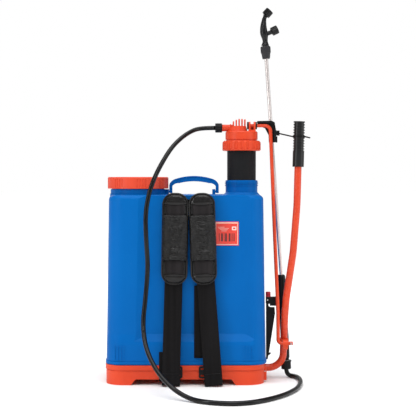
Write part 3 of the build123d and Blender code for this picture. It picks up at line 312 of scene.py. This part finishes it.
def label_film():
    """A printed label with plain bars and blank boxes on red."""
    s = Shader("label_film", 0.3, Coat_Weight=0.6, Coat_Roughness=0.1)
    low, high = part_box("label_plate")
    centre = (low + high) / 2
    x = s.math("SUBTRACT", s.axis("X"), centre.x)
    z = s.math("SUBTRACT", s.axis("Z"), centre.z)
    red = s.mix(s.remap(s.noise(40, 2), 0.3, 0.7), (0.72, 0.035, 0.02), (0.8, 0.05, 0.03))
    pale = (0.85, 0.5, 0.42)

    def region(x0, x1, z0, z1):
        """1 inside a rectangle measured in millimetres from the label's middle."""
        return s.math("MULTIPLY", s.band(x, x0 / 1000, x1 / 1000), s.band(z, z0 / 1000, z1 / 1000))

    frame_line = s.math("SUBTRACT", region(-25.2, 25.2, -25.2, 25.2), region(-23.6, 23.6, -23.6, 22.4))
    red = s.mix(frame_line, red, pale)
    red = s.mix(region(11.5, 21.5, 7.5, 15.5), red, (0.9, 0.68, 0.62))
    red = s.mix(region(14.0, 19.0, 9.5, 13.5), red, (0.75, 0.05, 0.03))
    lines = ((-20, -5, 13.6, 14.8), (-18, 5, 11.0, 12.2), (-15, 2, 8.4, 9.6), (-12, 0, 5.4, 6.6))
    for x0, x1, z0, z1 in lines:
        red = s.mix(s.math("MULTIPLY", region(x0, x1, z0, z1), 0.7), red, pale)
    bars = ((-17.5, -15.9), (-12.6, -8.6), (-6.2, -5.2), (-3.6, 0.4), (4.4, 8.2), (9.6, 10.6),
            (12.6, 13.8), (15.4, 17.4))
    for x0, x1 in bars:
        red = s.mix(region(x0, x1, -17.5, 0.5), red, (0.09, 0.006, 0.005))
    s.color(red)
    s.rough(s.remap(s.noise(50, 2), 0.3, 0.7, 0.24, 0.38))
    s.bump(s.noise(120, 2), 0.0002, 0.2)
    return s.mat


def floor_material():
    """Matt white studio floor."""
    s = Shader("studio_floor", 0.75)
    s.color(s.mix(s.remap(s.noise(3, 2), 0.3, 0.7), (0.93, 0.93, 0.93), (0.95, 0.95, 0.95)))
    s.rough(s.remap(s.noise(20, 2), 0.3, 0.7, 0.7, 0.85))
    return s.mat


TANK_MAT = tank_plastic()
ORANGE_MAT = moulded("orange_moulding", ORANGE_DARK, ORANGE_LIGHT, 0.42, scuffs=0.35,
                     scuff_color=(0.9, 0.35, 0.25)).mat
CAP_MAT = moulded("orange_cap_moulding", (0.63, 0.05, 0.016), (0.73, 0.066, 0.025), 0.4, scuffs=0.8,
                  scuff_color=(0.92, 0.42, 0.32)).mat
PAINT_MAT = painted_tube()
BLACK_MAT = moulded("black_moulding", BLACK_DARK, BLACK_LIGHT, 0.36, scuffs=0.25,
                    scuff_color=(0.12, 0.12, 0.12), Specular_IOR_Level=0.18).mat
CHAMBER_MAT = ribbed_chamber()
GREY_MAT = moulded("dark_grey_moulding", (0.016, 0.016, 0.018), (0.028, 0.028, 0.031), 0.42, scuffs=0.3,
                   scuff_color=(0.2, 0.2, 0.2)).mat
GRIP_MAT = moulded("grip_rubber", (0.006, 0.006, 0.0065), (0.012, 0.012, 0.0125), 0.34, grain=0.0001,
                   scuffs=0.3, scuff_color=(0.07, 0.07, 0.07), Coat_Weight=0.15).mat
NOZZLE_MAT = moulded("nozzle_moulding", (0.004, 0.004, 0.0045), (0.008, 0.008, 0.009), 0.22,
                     Coat_Weight=0.2, Specular_IOR_Level=0.2).mat
RED_MAT = moulded("red_moulding", (0.5, 0.008, 0.02), (0.62, 0.015, 0.03), 0.28, Coat_Weight=0.3).mat
WHITE_MAT = moulded("white_moulding", (0.66, 0.66, 0.63), (0.76, 0.76, 0.73), 0.45).mat
RUBBER_MAT = moulded("seal_rubber", (0.012, 0.012, 0.012), (0.022, 0.022, 0.022), 0.7, grain=0.0002).mat
LANCE_STEEL = brushed("lance_steel", (0.86, 0.79, 0.77), (0, LANCE_LEAN, 0), (1, 1, 0.02), 0.3)
SMALL_STEEL = brushed("fastener_steel", (0.6, 0.59, 0.57), (0, 0, 0), (1, 1, 1), 0.3)
HOSE_MAT = hose_rubber()
LABEL_MAT = label_film()

# The CAD pieces that stay visible, by material
CAD_LOOKS = {
    TANK_MAT: ("tank_shell", "carry_handle", "carry_pins"),
    CAP_MAT: ("filler_cap",),
    ORANGE_MAT: ("base_housing", "ring_nut", "pump_head", "link_clamp"),
    PAINT_MAT: ("lever_tube", "link_rod"),
    CHAMBER_MAT: ("air_chamber",),
    BLACK_MAT: ("hose_nut_top", "rod_bushes", "lance_clip", "shaft_collar", "cable_tie", "handle_body",
                "handle_collar", "trigger_lever", "strap_buckles", "strap_anchor", "neck_guide_bush",
                "agitator_disc"),
    GREY_MAT: ("lance_nut",),
    GRIP_MAT: ("lever_grip",),
    NOZZLE_MAT: ("nozzle_head", "nozzle_cap_top", "nozzle_cap_side"),
    RED_MAT: ("trigger_lock", "nozzle_cores"),
    WHITE_MAT: ("strainer_basket", "pump_cylinder", "inlet_valve_seat", "suction_strainer", "hose_barb",
                "riser_tube", "piston_tube", "handle_barb", "handle_strainer", "shaft_bearings",
                "valve_stem"),
    LANCE_STEEL: ("lance_tube",),
    SMALL_STEEL: ("base_screws", "split_pin", "trigger_pin", "valve_spring", "inlet_valve_ball",
                  "outlet_valve_ball"),
    RUBBER_MAT: ("cap_gasket", "head_gasket", "piston_cup"),
    LABEL_MAT: ("label_plate",),
}
for material, names in CAD_LOOKS.items():
    for name in names:
        NODES[name].data.materials.clear()
        NODES[name].data.materials.append(material)


# ---------------------------------------------------------------- mesh helpers
def make_object(name, vertices, faces, material):
    mesh = bpy.data.meshes.new(name)
    mesh.from_pydata([tuple(v) for v in vertices], [], faces)
    mesh.validate()
    mesh.update()
    obj = bpy.data.objects.new(name, mesh)
    bpy.context.scene.collection.objects.link(obj)
    mesh.materials.append(material)
    mesh.shade_smooth()
    return obj


def tube_faces(rings, count, closed=False, base=0):
    """The quads round a tube of rings with count points each, from vertex number base."""
    faces = []
    for i in range(rings if closed else rings - 1):
        here = base + i * count
        there = base + (i + 1) % rings * count
        for j in range(count):
            k = (j + 1) % count
            faces.append((here + j, here + k, there + k, there + j))
    return faces


def cap_faces(rings, count, base=0):
    """The faces that close the first and the last ring of such a tube."""
    last = base + (rings - 1) * count
    return [tuple(reversed(range(base, base + count))), tuple(range(last, last + count))]


def sweep(name, points, section, material, side=None, closed=False):
    """A closed section carried along points without twisting. side is the direction of its first axis."""
    vertices = []
    count = len(section)
    total = len(points)
    across = None
    for i, point in enumerate(points):
        before = points[(i - 1) % total] if closed or i > 0 else point
        after = points[(i + 1) % total] if closed or i < total - 1 else point
        tangent = (after - before).normalized()
        if side is not None:
            across = side
        elif across is None:
            across = tangent.orthogonal()
        across = (across - tangent * across.dot(tangent)).normalized()
        up = tangent.cross(across)
        for a, b in section:
            vertices.append(point + across * a + up * b)
    faces = tube_faces(total, count, closed)
    if not closed:
        faces += cap_faces(total, count)
    obj = make_object(name, vertices, faces, material)
    fix_normals(obj)
    return obj


def fix_normals(obj):
    """Turns every face of a closed mesh outwards."""
    bm = bmesh.new()
    bm.from_mesh(obj.data)
    bmesh.ops.recalc_face_normals(bm, faces=bm.faces)
    bm.to_mesh(obj.data)
    bm.free()


def circle(radius, count):
    angles = [2 * math.pi * i / count for i in range(count)]
    return [(radius * math.cos(a), radius * math.sin(a)) for a in angles]


def strap_section(width, thickness):
    """A flat section with rounded selvedges, wide along the first axis."""
    half = width / 2
    rim = thickness / 2
    steps = 20
    turns = (0.8, 0.0, -0.8)
    xs = [-half + rim + (width - 2 * rim) * i / steps for i in range(steps + 1)]
    top = [(x, rim) for x in xs]
    bottom = [(x, -rim) for x in reversed(xs)]
    right = [(half - rim + rim * math.cos(a), rim * math.sin(a)) for a in turns]
    left = [(-half + rim - rim * math.cos(a), -rim * math.sin(a)) for a in turns]
    return top + right + bottom + left


def nurbs_points(route, resolution):
    """Points along the smooth curve that has the route as its control points, so many to a span."""
    data = bpy.data.curves.new("route", "CURVE")
    data.dimensions = "3D"
    spline = data.splines.new("NURBS")
    spline.points.add(len(route) - 1)
    for point, place in zip(spline.points, route):
        point.co = (*place, 1)
    spline.order_u = 3
    spline.use_endpoint_u = True
    spline.resolution_u = resolution
    holder = bpy.data.objects.new("route", data)
    bpy.context.scene.collection.objects.link(holder)
    bpy.context.view_layer.update()
    mesh = bpy.data.meshes.new_from_object(holder.evaluated_get(bpy.context.evaluated_depsgraph_get()))
    points = [v.co.copy() for v in mesh.vertices]
    bpy.data.meshes.remove(mesh)
    bpy.data.objects.remove(holder)
    bpy.data.curves.remove(data)
    return points


# ---------------------------------------------------------------- delivery hose
HOSE_D = 0.0102
# The hose from the pump's outlet to the handle's barb: metres from the floor under the middle of the tank
HOSE_ROUTE = [
    (0.0665, -0.005, 0.5762),
    (0.038, -0.005, 0.5762),
    (0.014, -0.022, 0.57),
    (-0.014, -0.058, 0.549),
    (-0.038, -0.092, 0.52),
    (-0.072, -0.122, 0.455),
    (-0.087, -0.129, 0.392),
    (-0.085, -0.13, 0.324),
    (-0.081, -0.128, 0.27),
    (-0.086, -0.13, 0.204),
    (-0.093, -0.14, 0.14),
    (-0.082, -0.172, 0.086),
    (-0.048, -0.222, 0.038),
    (0.006, -0.27, 0.0054),
    (0.066, -0.312, 0.0053),
    (0.132, -0.312, 0.0053),
    (0.196, -0.25, 0.0053),
    (0.24, -0.17, 0.0053),
    (0.257, -0.092, 0.0053),
    (0.259, -0.046, 0.0053),
    (0.2555, -0.019, 0.0053),
    (0.2475, -0.0045, 0.0053),
    (0.2382, 0.0004, 0.0053),
    (0.2315, 0.002, 0.0123),
    (0.231, 0.002, 0.02098),
]
hose_line = nurbs_points([Vector(p) - ORIGIN for p in HOSE_ROUTE], 12)
hose = sweep("hose", hose_line, circle(HOSE_D / 2, 20), HOSE_MAT)
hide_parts("delivery_hose")
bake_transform(hose)


# ---------------------------------------------------------------- shoulder pads
PAD_HALF_W = 0.02675
PAD_HALF_L = 0.0995
PAD_CORNER = 0.0235
PAD_THICK = 0.011
PAD_VOXEL = 0.003
PAD_GROWTH = 0.0025     # how far the filling may push the cover out
FILL_FRAMES = 20
RIM_HELD = 0.0045       # width of the cover's edge that its piping holds still
SIDE_SEAM = 0.0215      # how far the seams along the pad lie from its middle
SEAM_ALLOWANCE = 0.0012
BAND_W = 0.0405
BAND_LOW = -0.088
BAND_LENGTH = 0.180
# For each side: the pad's place across in mm and its lean in degrees, then the same for its strap
PADS = {"left": (-23.4, 1.0, -32.2, 1.4), "right": (38.6, -1.7, 63.2, -4.5)}


def pad_outline(inset):
    """The pad's rounded outline, drawn in by inset, as (across, along) points."""
    radius = PAD_CORNER - inset
    corners = ((1, 1), (-1, 1), (-1, -1), (1, -1))
    steps = 14
    points = []
    for n, (sx, sz) in enumerate(corners):
        cx = sx * (PAD_HALF_W - PAD_CORNER)
        cz = sz * (PAD_HALF_L - PAD_CORNER)
        for i in range(steps + 1):
            angle = math.radians(90 * n + 90 * i / steps)
            points.append((cx + radius * math.cos(angle), cz + radius * math.sin(angle)))
    return points


def pad_place(side):
    """Where the middle of the pad's back goes, and its lean."""
    x, lean, _, _ = PADS[side]
    return Matrix.Translation(tank_point(x, -90, 326.8)) @ Matrix.Rotation(math.radians(lean), 4, "Y")


def pad_core(side):
    """A closed, crowned shape a little inside the cover: back at 0, front at -PAD_THICK."""
    profile = ((0.010, 0.0012), (0.004, 0.0009), (0.0012, 0.0018), (0.0004, 0.0052), (0.0012, 0.0085),
               (0.0045, 0.0097), (0.010, 0.0100))
    rows = [[Vector((a, -depth, b)) for a, b in pad_outline(inset)] for inset, depth in profile]
    vertices = [v for row in rows for v in row]
    count = len(rows[0])
    faces = tube_faces(len(rows), count)
    faces += [tuple(reversed(face)) for face in cap_faces(len(rows), count)]
    obj = make_object(f"pad_cover_{side}", vertices, faces, COVER_MATS[side])
    fix_normals(obj)
    return obj


def apply_modifiers(obj):
    """Puts the mesh as its modifiers shape it in the object's place."""
    graph = bpy.context.evaluated_depsgraph_get()
    mesh = bpy.data.meshes.new_from_object(obj.evaluated_get(graph))
    old = obj.data
    obj.modifiers.clear()
    obj.data = mesh
    bpy.data.meshes.remove(old)


def rim_distance(a, b):
    """How far a point across and along the pad lies inside its outline."""
    past_side = max(abs(a) - (PAD_HALF_W - PAD_CORNER), 0)
    past_end = max(abs(b) - (PAD_HALF_L - PAD_CORNER), 0)
    return PAD_CORNER - math.hypot(past_side, past_end)


def inflate(obj):
    """Fills the cover by cloth simulation with its sewn rim held, then limits how far any point has moved."""
    remesh = obj.modifiers.new("remesh", "REMESH")
    remesh.mode = "VOXEL"
    remesh.voxel_size = PAD_VOXEL
    apply_modifiers(obj)
    start = [v.co.copy() for v in obj.data.vertices]
    rim = obj.vertex_groups.new(name="rim")
    held = [v.index for v in obj.data.vertices if rim_distance(v.co.x, v.co.z) < RIM_HELD]
    rim.add(held, 1.0, "REPLACE")
    cloth = obj.modifiers.new("cloth", "CLOTH")
    cloth.settings.use_pressure = True
    cloth.settings.uniform_pressure_force = 4
    cloth.settings.effector_weights.gravity = 0
    cloth.settings.quality = 5
    cloth.settings.vertex_group_mass = "rim"
    cloth.point_cache.frame_start = 1
    cloth.point_cache.frame_end = FILL_FRAMES
    for step in range(1, FILL_FRAMES + 1):
        bpy.context.scene.frame_set(step)
    apply_modifiers(obj)
    bpy.context.scene.frame_set(1)
    for vertex, rest in zip(obj.data.vertices, start):
        moved = vertex.co - rest
        if moved.length > PAD_GROWTH:
            vertex.co = rest + moved.normalized() * PAD_GROWTH
    smooth = obj.modifiers.new("fine", "SUBSURF")
    smooth.levels = 1
    smooth.render_levels = 1
    apply_modifiers(obj)


# Seams across the pad, as heights above its middle, and how deep each is drawn in
SEAMS = ((0.0765, 0.0016), (0.0535, 0.0013), (-0.0475, 0.0013), (-0.0815, 0.0016))


def draw_in_seams(obj):
    """Presses narrow grooves into the cover's front along its seams."""
    cross_width, side_width, side_depth = 0.0022, 0.0016, 0.0012
    for vertex in obj.data.vertices:
        if vertex.co.y > -PAD_THICK * 0.5:
            continue
        pull = sum(depth * math.exp(-((vertex.co.z - height) / cross_width) ** 2) for height, depth in SEAMS)
        edge = (abs(vertex.co.x) - SIDE_SEAM) / side_width
        pull += side_depth * math.exp(-edge * edge)
        vertex.co.y += pull


def skin_of(obj):
    """A function that gives the front of obj at a point across and along it."""
    tree = BVHTree.FromObject(obj, bpy.context.evaluated_depsgraph_get())

    def skin(a, b):
        hit = tree.ray_cast(Vector((a, -0.06, b)), Vector((0, 1, 0)))[0]
        return hit.y if hit is not None else -0.005

    return skin


def draped(name, skin, columns, rows, lift, thickness, material, outline):
    """A thin panel lying on the pad. outline(s, t) gives its point across and along for s, t from 0 to 1;
    lift(s, t) how far it stands off the cover."""
    front = []
    back = []
    for j in range(rows + 1):
        for i in range(columns + 1):
            s, t = i / columns, j / rows
            a, b = outline(s, t)
            y = skin(a, b) - lift(s, t)
            front.append(Vector((a, y - thickness, b)))
            back.append(Vector((a, y, b)))
    vertices = front + back
    total = len(front)
    width = columns + 1
    faces = []
    for j in range(rows):
        for i in range(columns):
            a = j * width + i
            quad = (a, a + 1, a + 1 + width, a + width)
            faces.append(quad)
            faces.append(tuple(q + total for q in reversed(quad)))
    rim = list(range(width))
    rim += [j * width + columns for j in range(1, rows + 1)]
    rim += [rows * width + i for i in range(columns - 1, -1, -1)]
    rim += [j * width for j in range(rows - 1, 0, -1)]
    for a, b in zip(rim, rim[1:] + rim[:1]):
        faces.append((b, a, a + total, b + total))
    obj = make_object(name, vertices, faces, material)
    fix_normals(obj)
    return obj


def wrinkle(a, b, size, seed):
    """Smooth random height at a point across and along, about -1 to 1."""
    return noise.fractal(Vector((a / size, seed, b / size)), 0.8, 2.1, 3)


def stitches(name, path, pitch, material):
    """Short raised threads along a path of (point, outward) pairs, joined as one mesh."""
    vertices = []
    faces = []
    around = 6
    section = circle(0.00035, around)
    # each thread's rings: their places along it in pitches, and their heights above the path
    stations = (-0.36, -0.22, 0.0, 0.22, 0.36)
    heights = (-0.0006, 0.0, 0.0003, 0.0, -0.0006)
    lengths = [0.0]
    for (p, _), (q, _) in zip(path, path[1:]):
        lengths.append(lengths[-1] + (q - p).length)

    def at(distance):
        for (p, n), (q, _), l0, l1 in zip(path, path[1:], lengths, lengths[1:]):
            if l1 >= distance and l1 > l0:
                return p.lerp(q, (distance - l0) / (l1 - l0)), (q - p).normalized(), n
        return path[-1][0], (path[-1][0] - path[-2][0]).normalized(), path[-1][1]

    position = pitch * 0.3
    while position < lengths[-1] - pitch * 0.5:
        centre, along, out = at(position)
        side = along.cross(out)
        base = len(vertices)
        for offset, height in zip(stations, heights):
            for a, b in section:
                vertices.append(centre + along * offset * pitch + out * (height + b) + side * a)
        faces += tube_faces(len(stations), around, base=base)
        faces += cap_faces(len(stations), around, base)
        position += pitch
    obj = make_object(name, vertices, faces, material)
    fix_normals(obj)
    return obj


THREAD_MAT = moulded("thread", (0.014, 0.014, 0.015), (0.03, 0.03, 0.032), 0.5, grain=0.0001).mat
PIPING_MAT = vinyl("piping_vinyl", 0, False, 0.3, (0.006, 0.006, 0.006), (0.016, 0.0155, 0.0155), 0.0004)
COVER_MATS = {side: vinyl(f"pad_vinyl_{side}", PADS[side][1], True, 0.34, (0.003, 0.003, 0.003),
                          (0.007, 0.0068, 0.0068)) for side in PADS}
SLEEVE_MATS = {side: vinyl(f"sleeve_vinyl_{side}", PADS[side][1], True, 0.22, (0.002, 0.0018, 0.0018),
                           (0.006, 0.0054, 0.0053), 0.0026) for side in PADS}
POCKET_MAT = vinyl("pocket_vinyl", 0, True, 0.34, (0.005, 0.0045, 0.0045), (0.014, 0.013, 0.013), 0.0006)
BAND_MATS = {side: webbing_fabric(f"band_webbing_{side}", PADS[side][1], (0.009, 0.0082, 0.0085),
                                  (0.024, 0.021, 0.022)) for side in PADS}
STRAP_MATS = {side: webbing_fabric(f"strap_webbing_{side}", PADS[side][3], (0.003, 0.0028, 0.003),
                                   (0.0088, 0.008, 0.0086)) for side in PADS}
TAIL_MAT = webbing_fabric("tail_webbing", 0, (0.003, 0.003, 0.003), (0.008, 0.0075, 0.008))

SLEEVE_LOW = -0.0478
SLEEVE_TOP = 0.0522
SLEEVE_RIB = 0.0029


def make_sleeve(side, seed):
    """A ribbed sleeve drawn over the pad's middle, loose and creased at its front."""
    rows, around = 175, 96
    half_w, half_t, middle = 0.0281, 0.0074, -0.0077
    vertices = []
    for j in range(rows + 1):
        t = j / rows
        b = SLEEVE_LOW + (SLEEVE_TOP - SLEEVE_LOW) * t
        end = min(t, 1 - t)
        tuck = math.exp(-end / 0.012)
        rib = math.sin(2 * math.pi * b / SLEEVE_RIB)
        for i in range(around):
            angle = 2 * math.pi * i / around
            ca, sa = math.cos(angle), math.sin(angle)
            x = half_w * math.copysign(abs(ca) ** 0.62, ca)
            y = half_t * math.copysign(abs(sa) ** 0.72, sa)
            front = max(-sa, 0) ** 0.5
            centre = math.exp(-(x / 0.0125) ** 4)
            side_rib = 0.00042 * rib * (1 - 0.75 * centre * front)
            crease = noise.fractal(Vector((x / 0.009, seed, b / 0.012)), 0.7, 2.2, 4) * 0.0026
            fold = 0.0016 * math.sin(b / 0.0105 + 2.2 * noise.noise(Vector((x / 0.01, seed * 2, b / 0.02))))
            out = side_rib + front * centre * (1 - tuck) * (0.0012 + crease + fold) - 0.0011 * tuck
            normal = Vector((ca * half_t, sa * half_w)).normalized()
            vertices.append(Vector((x + normal.x * out, middle + y + normal.y * out, b)))
    obj = make_object(f"pad_sleeve_{side}", vertices, tube_faces(rows + 1, around), SLEEVE_MATS[side])
    skin = obj.modifiers.new("thickness", "SOLIDIFY")
    skin.thickness = 0.0007
    skin.offset = -1
    apply_modifiers(obj)
    fix_normals(obj)
    return obj


def make_pad(side, seed):
    """One shoulder pad: cover, piping, band, sleeve, two pockets and the threads of their seams."""
    place = pad_place(side)
    cover = pad_core(side)
    inflate(cover)
    draw_in_seams(cover)
    cover.data.update()
    skin = skin_of(cover)
    parts = []

    # bound edge all round, where the cover's two faces meet
    edge = [Vector((a, -0.0055, b)) for a, b in pad_outline(-0.0006)]
    piping = sweep(f"pad_piping_{side}", edge, circle(0.0021, 12), PIPING_MAT, closed=True)
    parts.append(piping)

    # woven band the length of the pad
    def band_outline(s, t):
        return (s - 0.5) * BAND_W, BAND_LOW + BAND_LENGTH * t

    def band_lift(s, t):
        return 0.0003 + 0.0003 * wrinkle(s * 0.04, t * 0.18, 0.02, seed)

    band = draped(f"pad_band_{side}", skin, 12, 60, band_lift, 0.0013, BAND_MATS[side], band_outline)
    parts.append(band)

    sleeve = make_sleeve(side, seed + 5)
    parts.append(sleeve)

    # rounded pockets over the band's ends, their mouths bowed and their outer edges inside the piping
    def corner_reach(past):
        """How far the pocket reaches beyond its corner's centre, at a distance past it the other way."""
        return math.sqrt(max((PAD_CORNER - SEAM_ALLOWANCE) ** 2 - past ** 2, 1e-8))

    def pocket(name, sign, reach):
        def outline(s, t):
            across = (s - 0.5) * 2
            inner = reach - 0.0022 * (1 - across * across)
            width = PAD_HALF_W - SEAM_ALLOWANCE
            if inner > PAD_HALF_L - PAD_CORNER:
                width = PAD_HALF_W - PAD_CORNER + corner_reach(inner - (PAD_HALF_L - PAD_CORNER))
            a = across * width
            past = max(abs(a) - (PAD_HALF_W - PAD_CORNER), 0)
            outer = max(PAD_HALF_L - PAD_CORNER + corner_reach(past), inner + 0.0004)
            return a, sign * (inner + (outer - inner) * t)

        def lift(s, t):
            loose = math.sin(math.pi * s) * (1 - t) ** 2
            return 0.0002 + 0.0018 * (1 - t) * math.sin(math.pi * s) ** 0.5 + 0.0012 * loose

        return draped(name, skin, 28, 12, lift, 0.0011, POCKET_MAT, outline)

    parts.append(pocket(f"pad_pocket_top_{side}", 1, 0.0775))
    parts.append(pocket(f"pad_pocket_low_{side}", -1, 0.0805))

    # seams sewn along the sides and across the sleeve's ends
    towards_wearer = Vector((0, -1, 0))
    for end, a in (("a", -SIDE_SEAM), ("b", SIDE_SEAM)):
        run = []
        for n in range(60):
            b = -0.072 + 0.144 * n / 59
            run.append((Vector((a, skin(a, b) - 0.0003, b)), towards_wearer))
        parts.append(stitches(f"pad_stitch_{end}_{side}", run, 0.0032, THREAD_MAT))
    sleeve_skin = skin_of(sleeve)
    for end, b in (("low", -0.0455), ("top", 0.0495)):
        run = []
        for n in range(30):
            a = -0.0205 + 0.041 * n / 29
            run.append((Vector((a, sleeve_skin(a, b) - 0.0002, b)), towards_wearer))
        parts.append(stitches(f"sleeve_stitch_{end}_{side}", run, 0.003, THREAD_MAT))

    for part in [cover] + parts:
        part.data.transform(place)
        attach(part, "tank")
    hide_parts(f"shoulder_pad_{side}")


for number, side in enumerate(PADS):
    make_pad(side, 3.1 + 4.7 * number)


# ---------------------------------------------------------------- strap webbing
STRAP_W = 0.040
STRAP_T = 0.0017
END_T = 0.0016          # thickness of the short ends and the loops
TACK_Y, TACK_Z = -0.1157, 0.030
# Down the front almost to the floor and up again behind, as (y, z) in mm
STRAP_ROUTE = [(-88.9, 300), (-88.9, 250), (-89.6, 205), (-98, 140), (-106, 95), (-111.5, 60), (-114.0, 30),
               (-114.6, 9), (-113.4, 4.6), (-108.9, 1.6), (-104.2, 4.6), (-103.2, 9), (-103.2, 41)]

for side, (_, _, x, lean) in PADS.items():
    foot = tank_point(x, 0, 0)
    turn = Matrix.Rotation(math.radians(lean), 4, "Y")
    line = nurbs_points([foot + turn @ Vector((0, y / 1000, z / 1000)) for y, z in STRAP_ROUTE], 10)
    strap = sweep(f"strap_{side}", line, strap_section(STRAP_W, STRAP_T), STRAP_MATS[side],
                  side=turn @ Vector((1, 0, 0)))
    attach(strap, "tank")
    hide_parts(f"strap_webbing_{side}")
    # a row of stitches across the strap
    row = []
    for n in range(20):
        a = -0.0175 + 0.035 * n / 19
        row.append((foot + turn @ Vector((a, TACK_Y, TACK_Z)), Vector((0, -1, 0))))
    tack = stitches(f"strap_tack_{side}", row, 0.0026, THREAD_MAT)
    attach(tack, "tank")


def flat_strap(name, node, route, x0, x1):
    """A short end of webbing along a route of (y, z) points, between two places across."""
    line = nurbs_points([tank_point((x0 + x1) / 2, y, z) for y, z in route], 10)
    section = strap_section((x1 - x0) / 1000, END_T)
    obj = sweep(name, line, section, TAIL_MAT, side=Vector((1, 0, 0)))
    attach(obj, "tank")
    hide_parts(node)


flat_strap("tail_left", "strap_tail_left", [(-105.5, 77), (-105.6, 60), (-105.3, 35), (-105.5, 12)],
           -58.5, -18.5)
flat_strap("tail_right", "strap_tail_right", [(-84.0, 222), (-85.6, 180), (-87.0, 120), (-91.4, 61)], 19, 57)


def anchor_loop(name, x):
    """The folded webbing that hangs each pad from the tank's rail."""
    rail_y, rail_z, bend = -85.1, 405, 3.75
    angles = [math.radians(180 * n / 8) for n in range(9)]
    over = [(rail_y - bend * math.cos(a), rail_z + bend * math.sin(a)) for a in angles]
    route = [(rail_y - bend, 377), (rail_y - bend, 390)] + over + [(rail_y + bend, 390), (rail_y + bend, 377)]
    line = nurbs_points([tank_point(x, y, z) for y, z in route], 8)
    return sweep(name, line, strap_section(0.036, END_T), TAIL_MAT, side=Vector((1, 0, 0)))


loop_a = anchor_loop("anchor_loop_left", -20)
loop_b = anchor_loop("anchor_loop_right", 36)
for loop in (loop_a, loop_b):
    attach(loop, "tank")
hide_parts("strap_loops")


# ---------------------------------------------------------------- stage, light and camera
def make_floor():
    """A wide flat floor, its middle under the object."""
    bm = bmesh.new()
    bmesh.ops.create_grid(bm, x_segments=24, y_segments=24, size=30.0)
    mesh = bpy.data.meshes.new("studio_floor")
    bm.to_mesh(mesh)
    bm.free()
    floor = bpy.data.objects.new("studio_floor", mesh)
    bpy.context.scene.collection.objects.link(floor)
    mesh.materials.append(floor_material())


def area_light(name, place, target, size, watts):
    """A rectangular light of the given size, turned towards the target."""
    data = bpy.data.lights.new(name, "AREA")
    data.shape = "RECTANGLE"
    data.size, data.size_y = size
    data.energy = watts
    light = bpy.data.objects.new(name, data)
    light.location = place
    light.rotation_euler = (Vector(target) - Vector(place)).to_track_quat("-Z", "Y").to_euler()
    bpy.context.scene.collection.objects.link(light)


make_floor()
world = bpy.data.worlds.new("studio")
bpy.context.scene.world = world
world.use_nodes = True
backdrop = next(n for n in world.node_tree.nodes if n.type == "BACKGROUND")
backdrop.inputs["Color"].default_value = (1, 1, 1, 1)
# The studio walls look white but light the object less than that
light_path = world.node_tree.nodes.new("ShaderNodeLightPath")
wall = world.node_tree.nodes.new("ShaderNodeMapRange")
wall.inputs["To Min"].default_value = 0.3
wall.inputs["To Max"].default_value = 1.0
world.node_tree.links.new(light_path.outputs["Is Camera Ray"], wall.inputs["Value"])
world.node_tree.links.new(wall.outputs["Result"], backdrop.inputs["Strength"])
MIDDLE = (0, 0, 0.35)
area_light("soft_left", (-2.0, -1.4, 1.2), MIDDLE, (0.5, 1.6), 17)
area_light("soft_right", (2.0, -0.7, 1.0), MIDDLE, (0.8, 1.8), 9)
area_light("soft_front", (0.3, -3.4, 2.6), MIDDLE, (1.4, 0.5), 15)
area_light("soft_back", (-0.4, 2.2, 1.6), MIDDLE, (1.6, 1.2), 14)
overhead = bpy.data.lights.new("overhead", "SUN")
overhead.energy = 2.7
overhead.angle = math.radians(70)
sun = bpy.data.objects.new("overhead", overhead)
sun.rotation_euler = (math.radians(12), 0, 0)
bpy.context.scene.collection.objects.link(sun)

# The camera stands and looks as the photograph's does
CAMERA_PLACE = tank_point(50, -2500, 460)
CAMERA_AIM = tank_point(50, 0, 392.6)
camera_data = bpy.data.cameras.new("camera")
camera_data.lens = 94.06
camera_data.sensor_width = 36
camera_data.dof.use_dof = False
camera = bpy.data.objects.new("camera", camera_data)
camera.location = CAMERA_PLACE
camera.rotation_euler = (CAMERA_AIM - CAMERA_PLACE).to_track_quat("-Z", "Y").to_euler()
bpy.context.scene.collection.objects.link(camera)
bpy.context.scene.camera = camera
bpy.context.scene.view_settings.view_transform = "Standard"
bpy.context.scene.view_settings.look = "None"
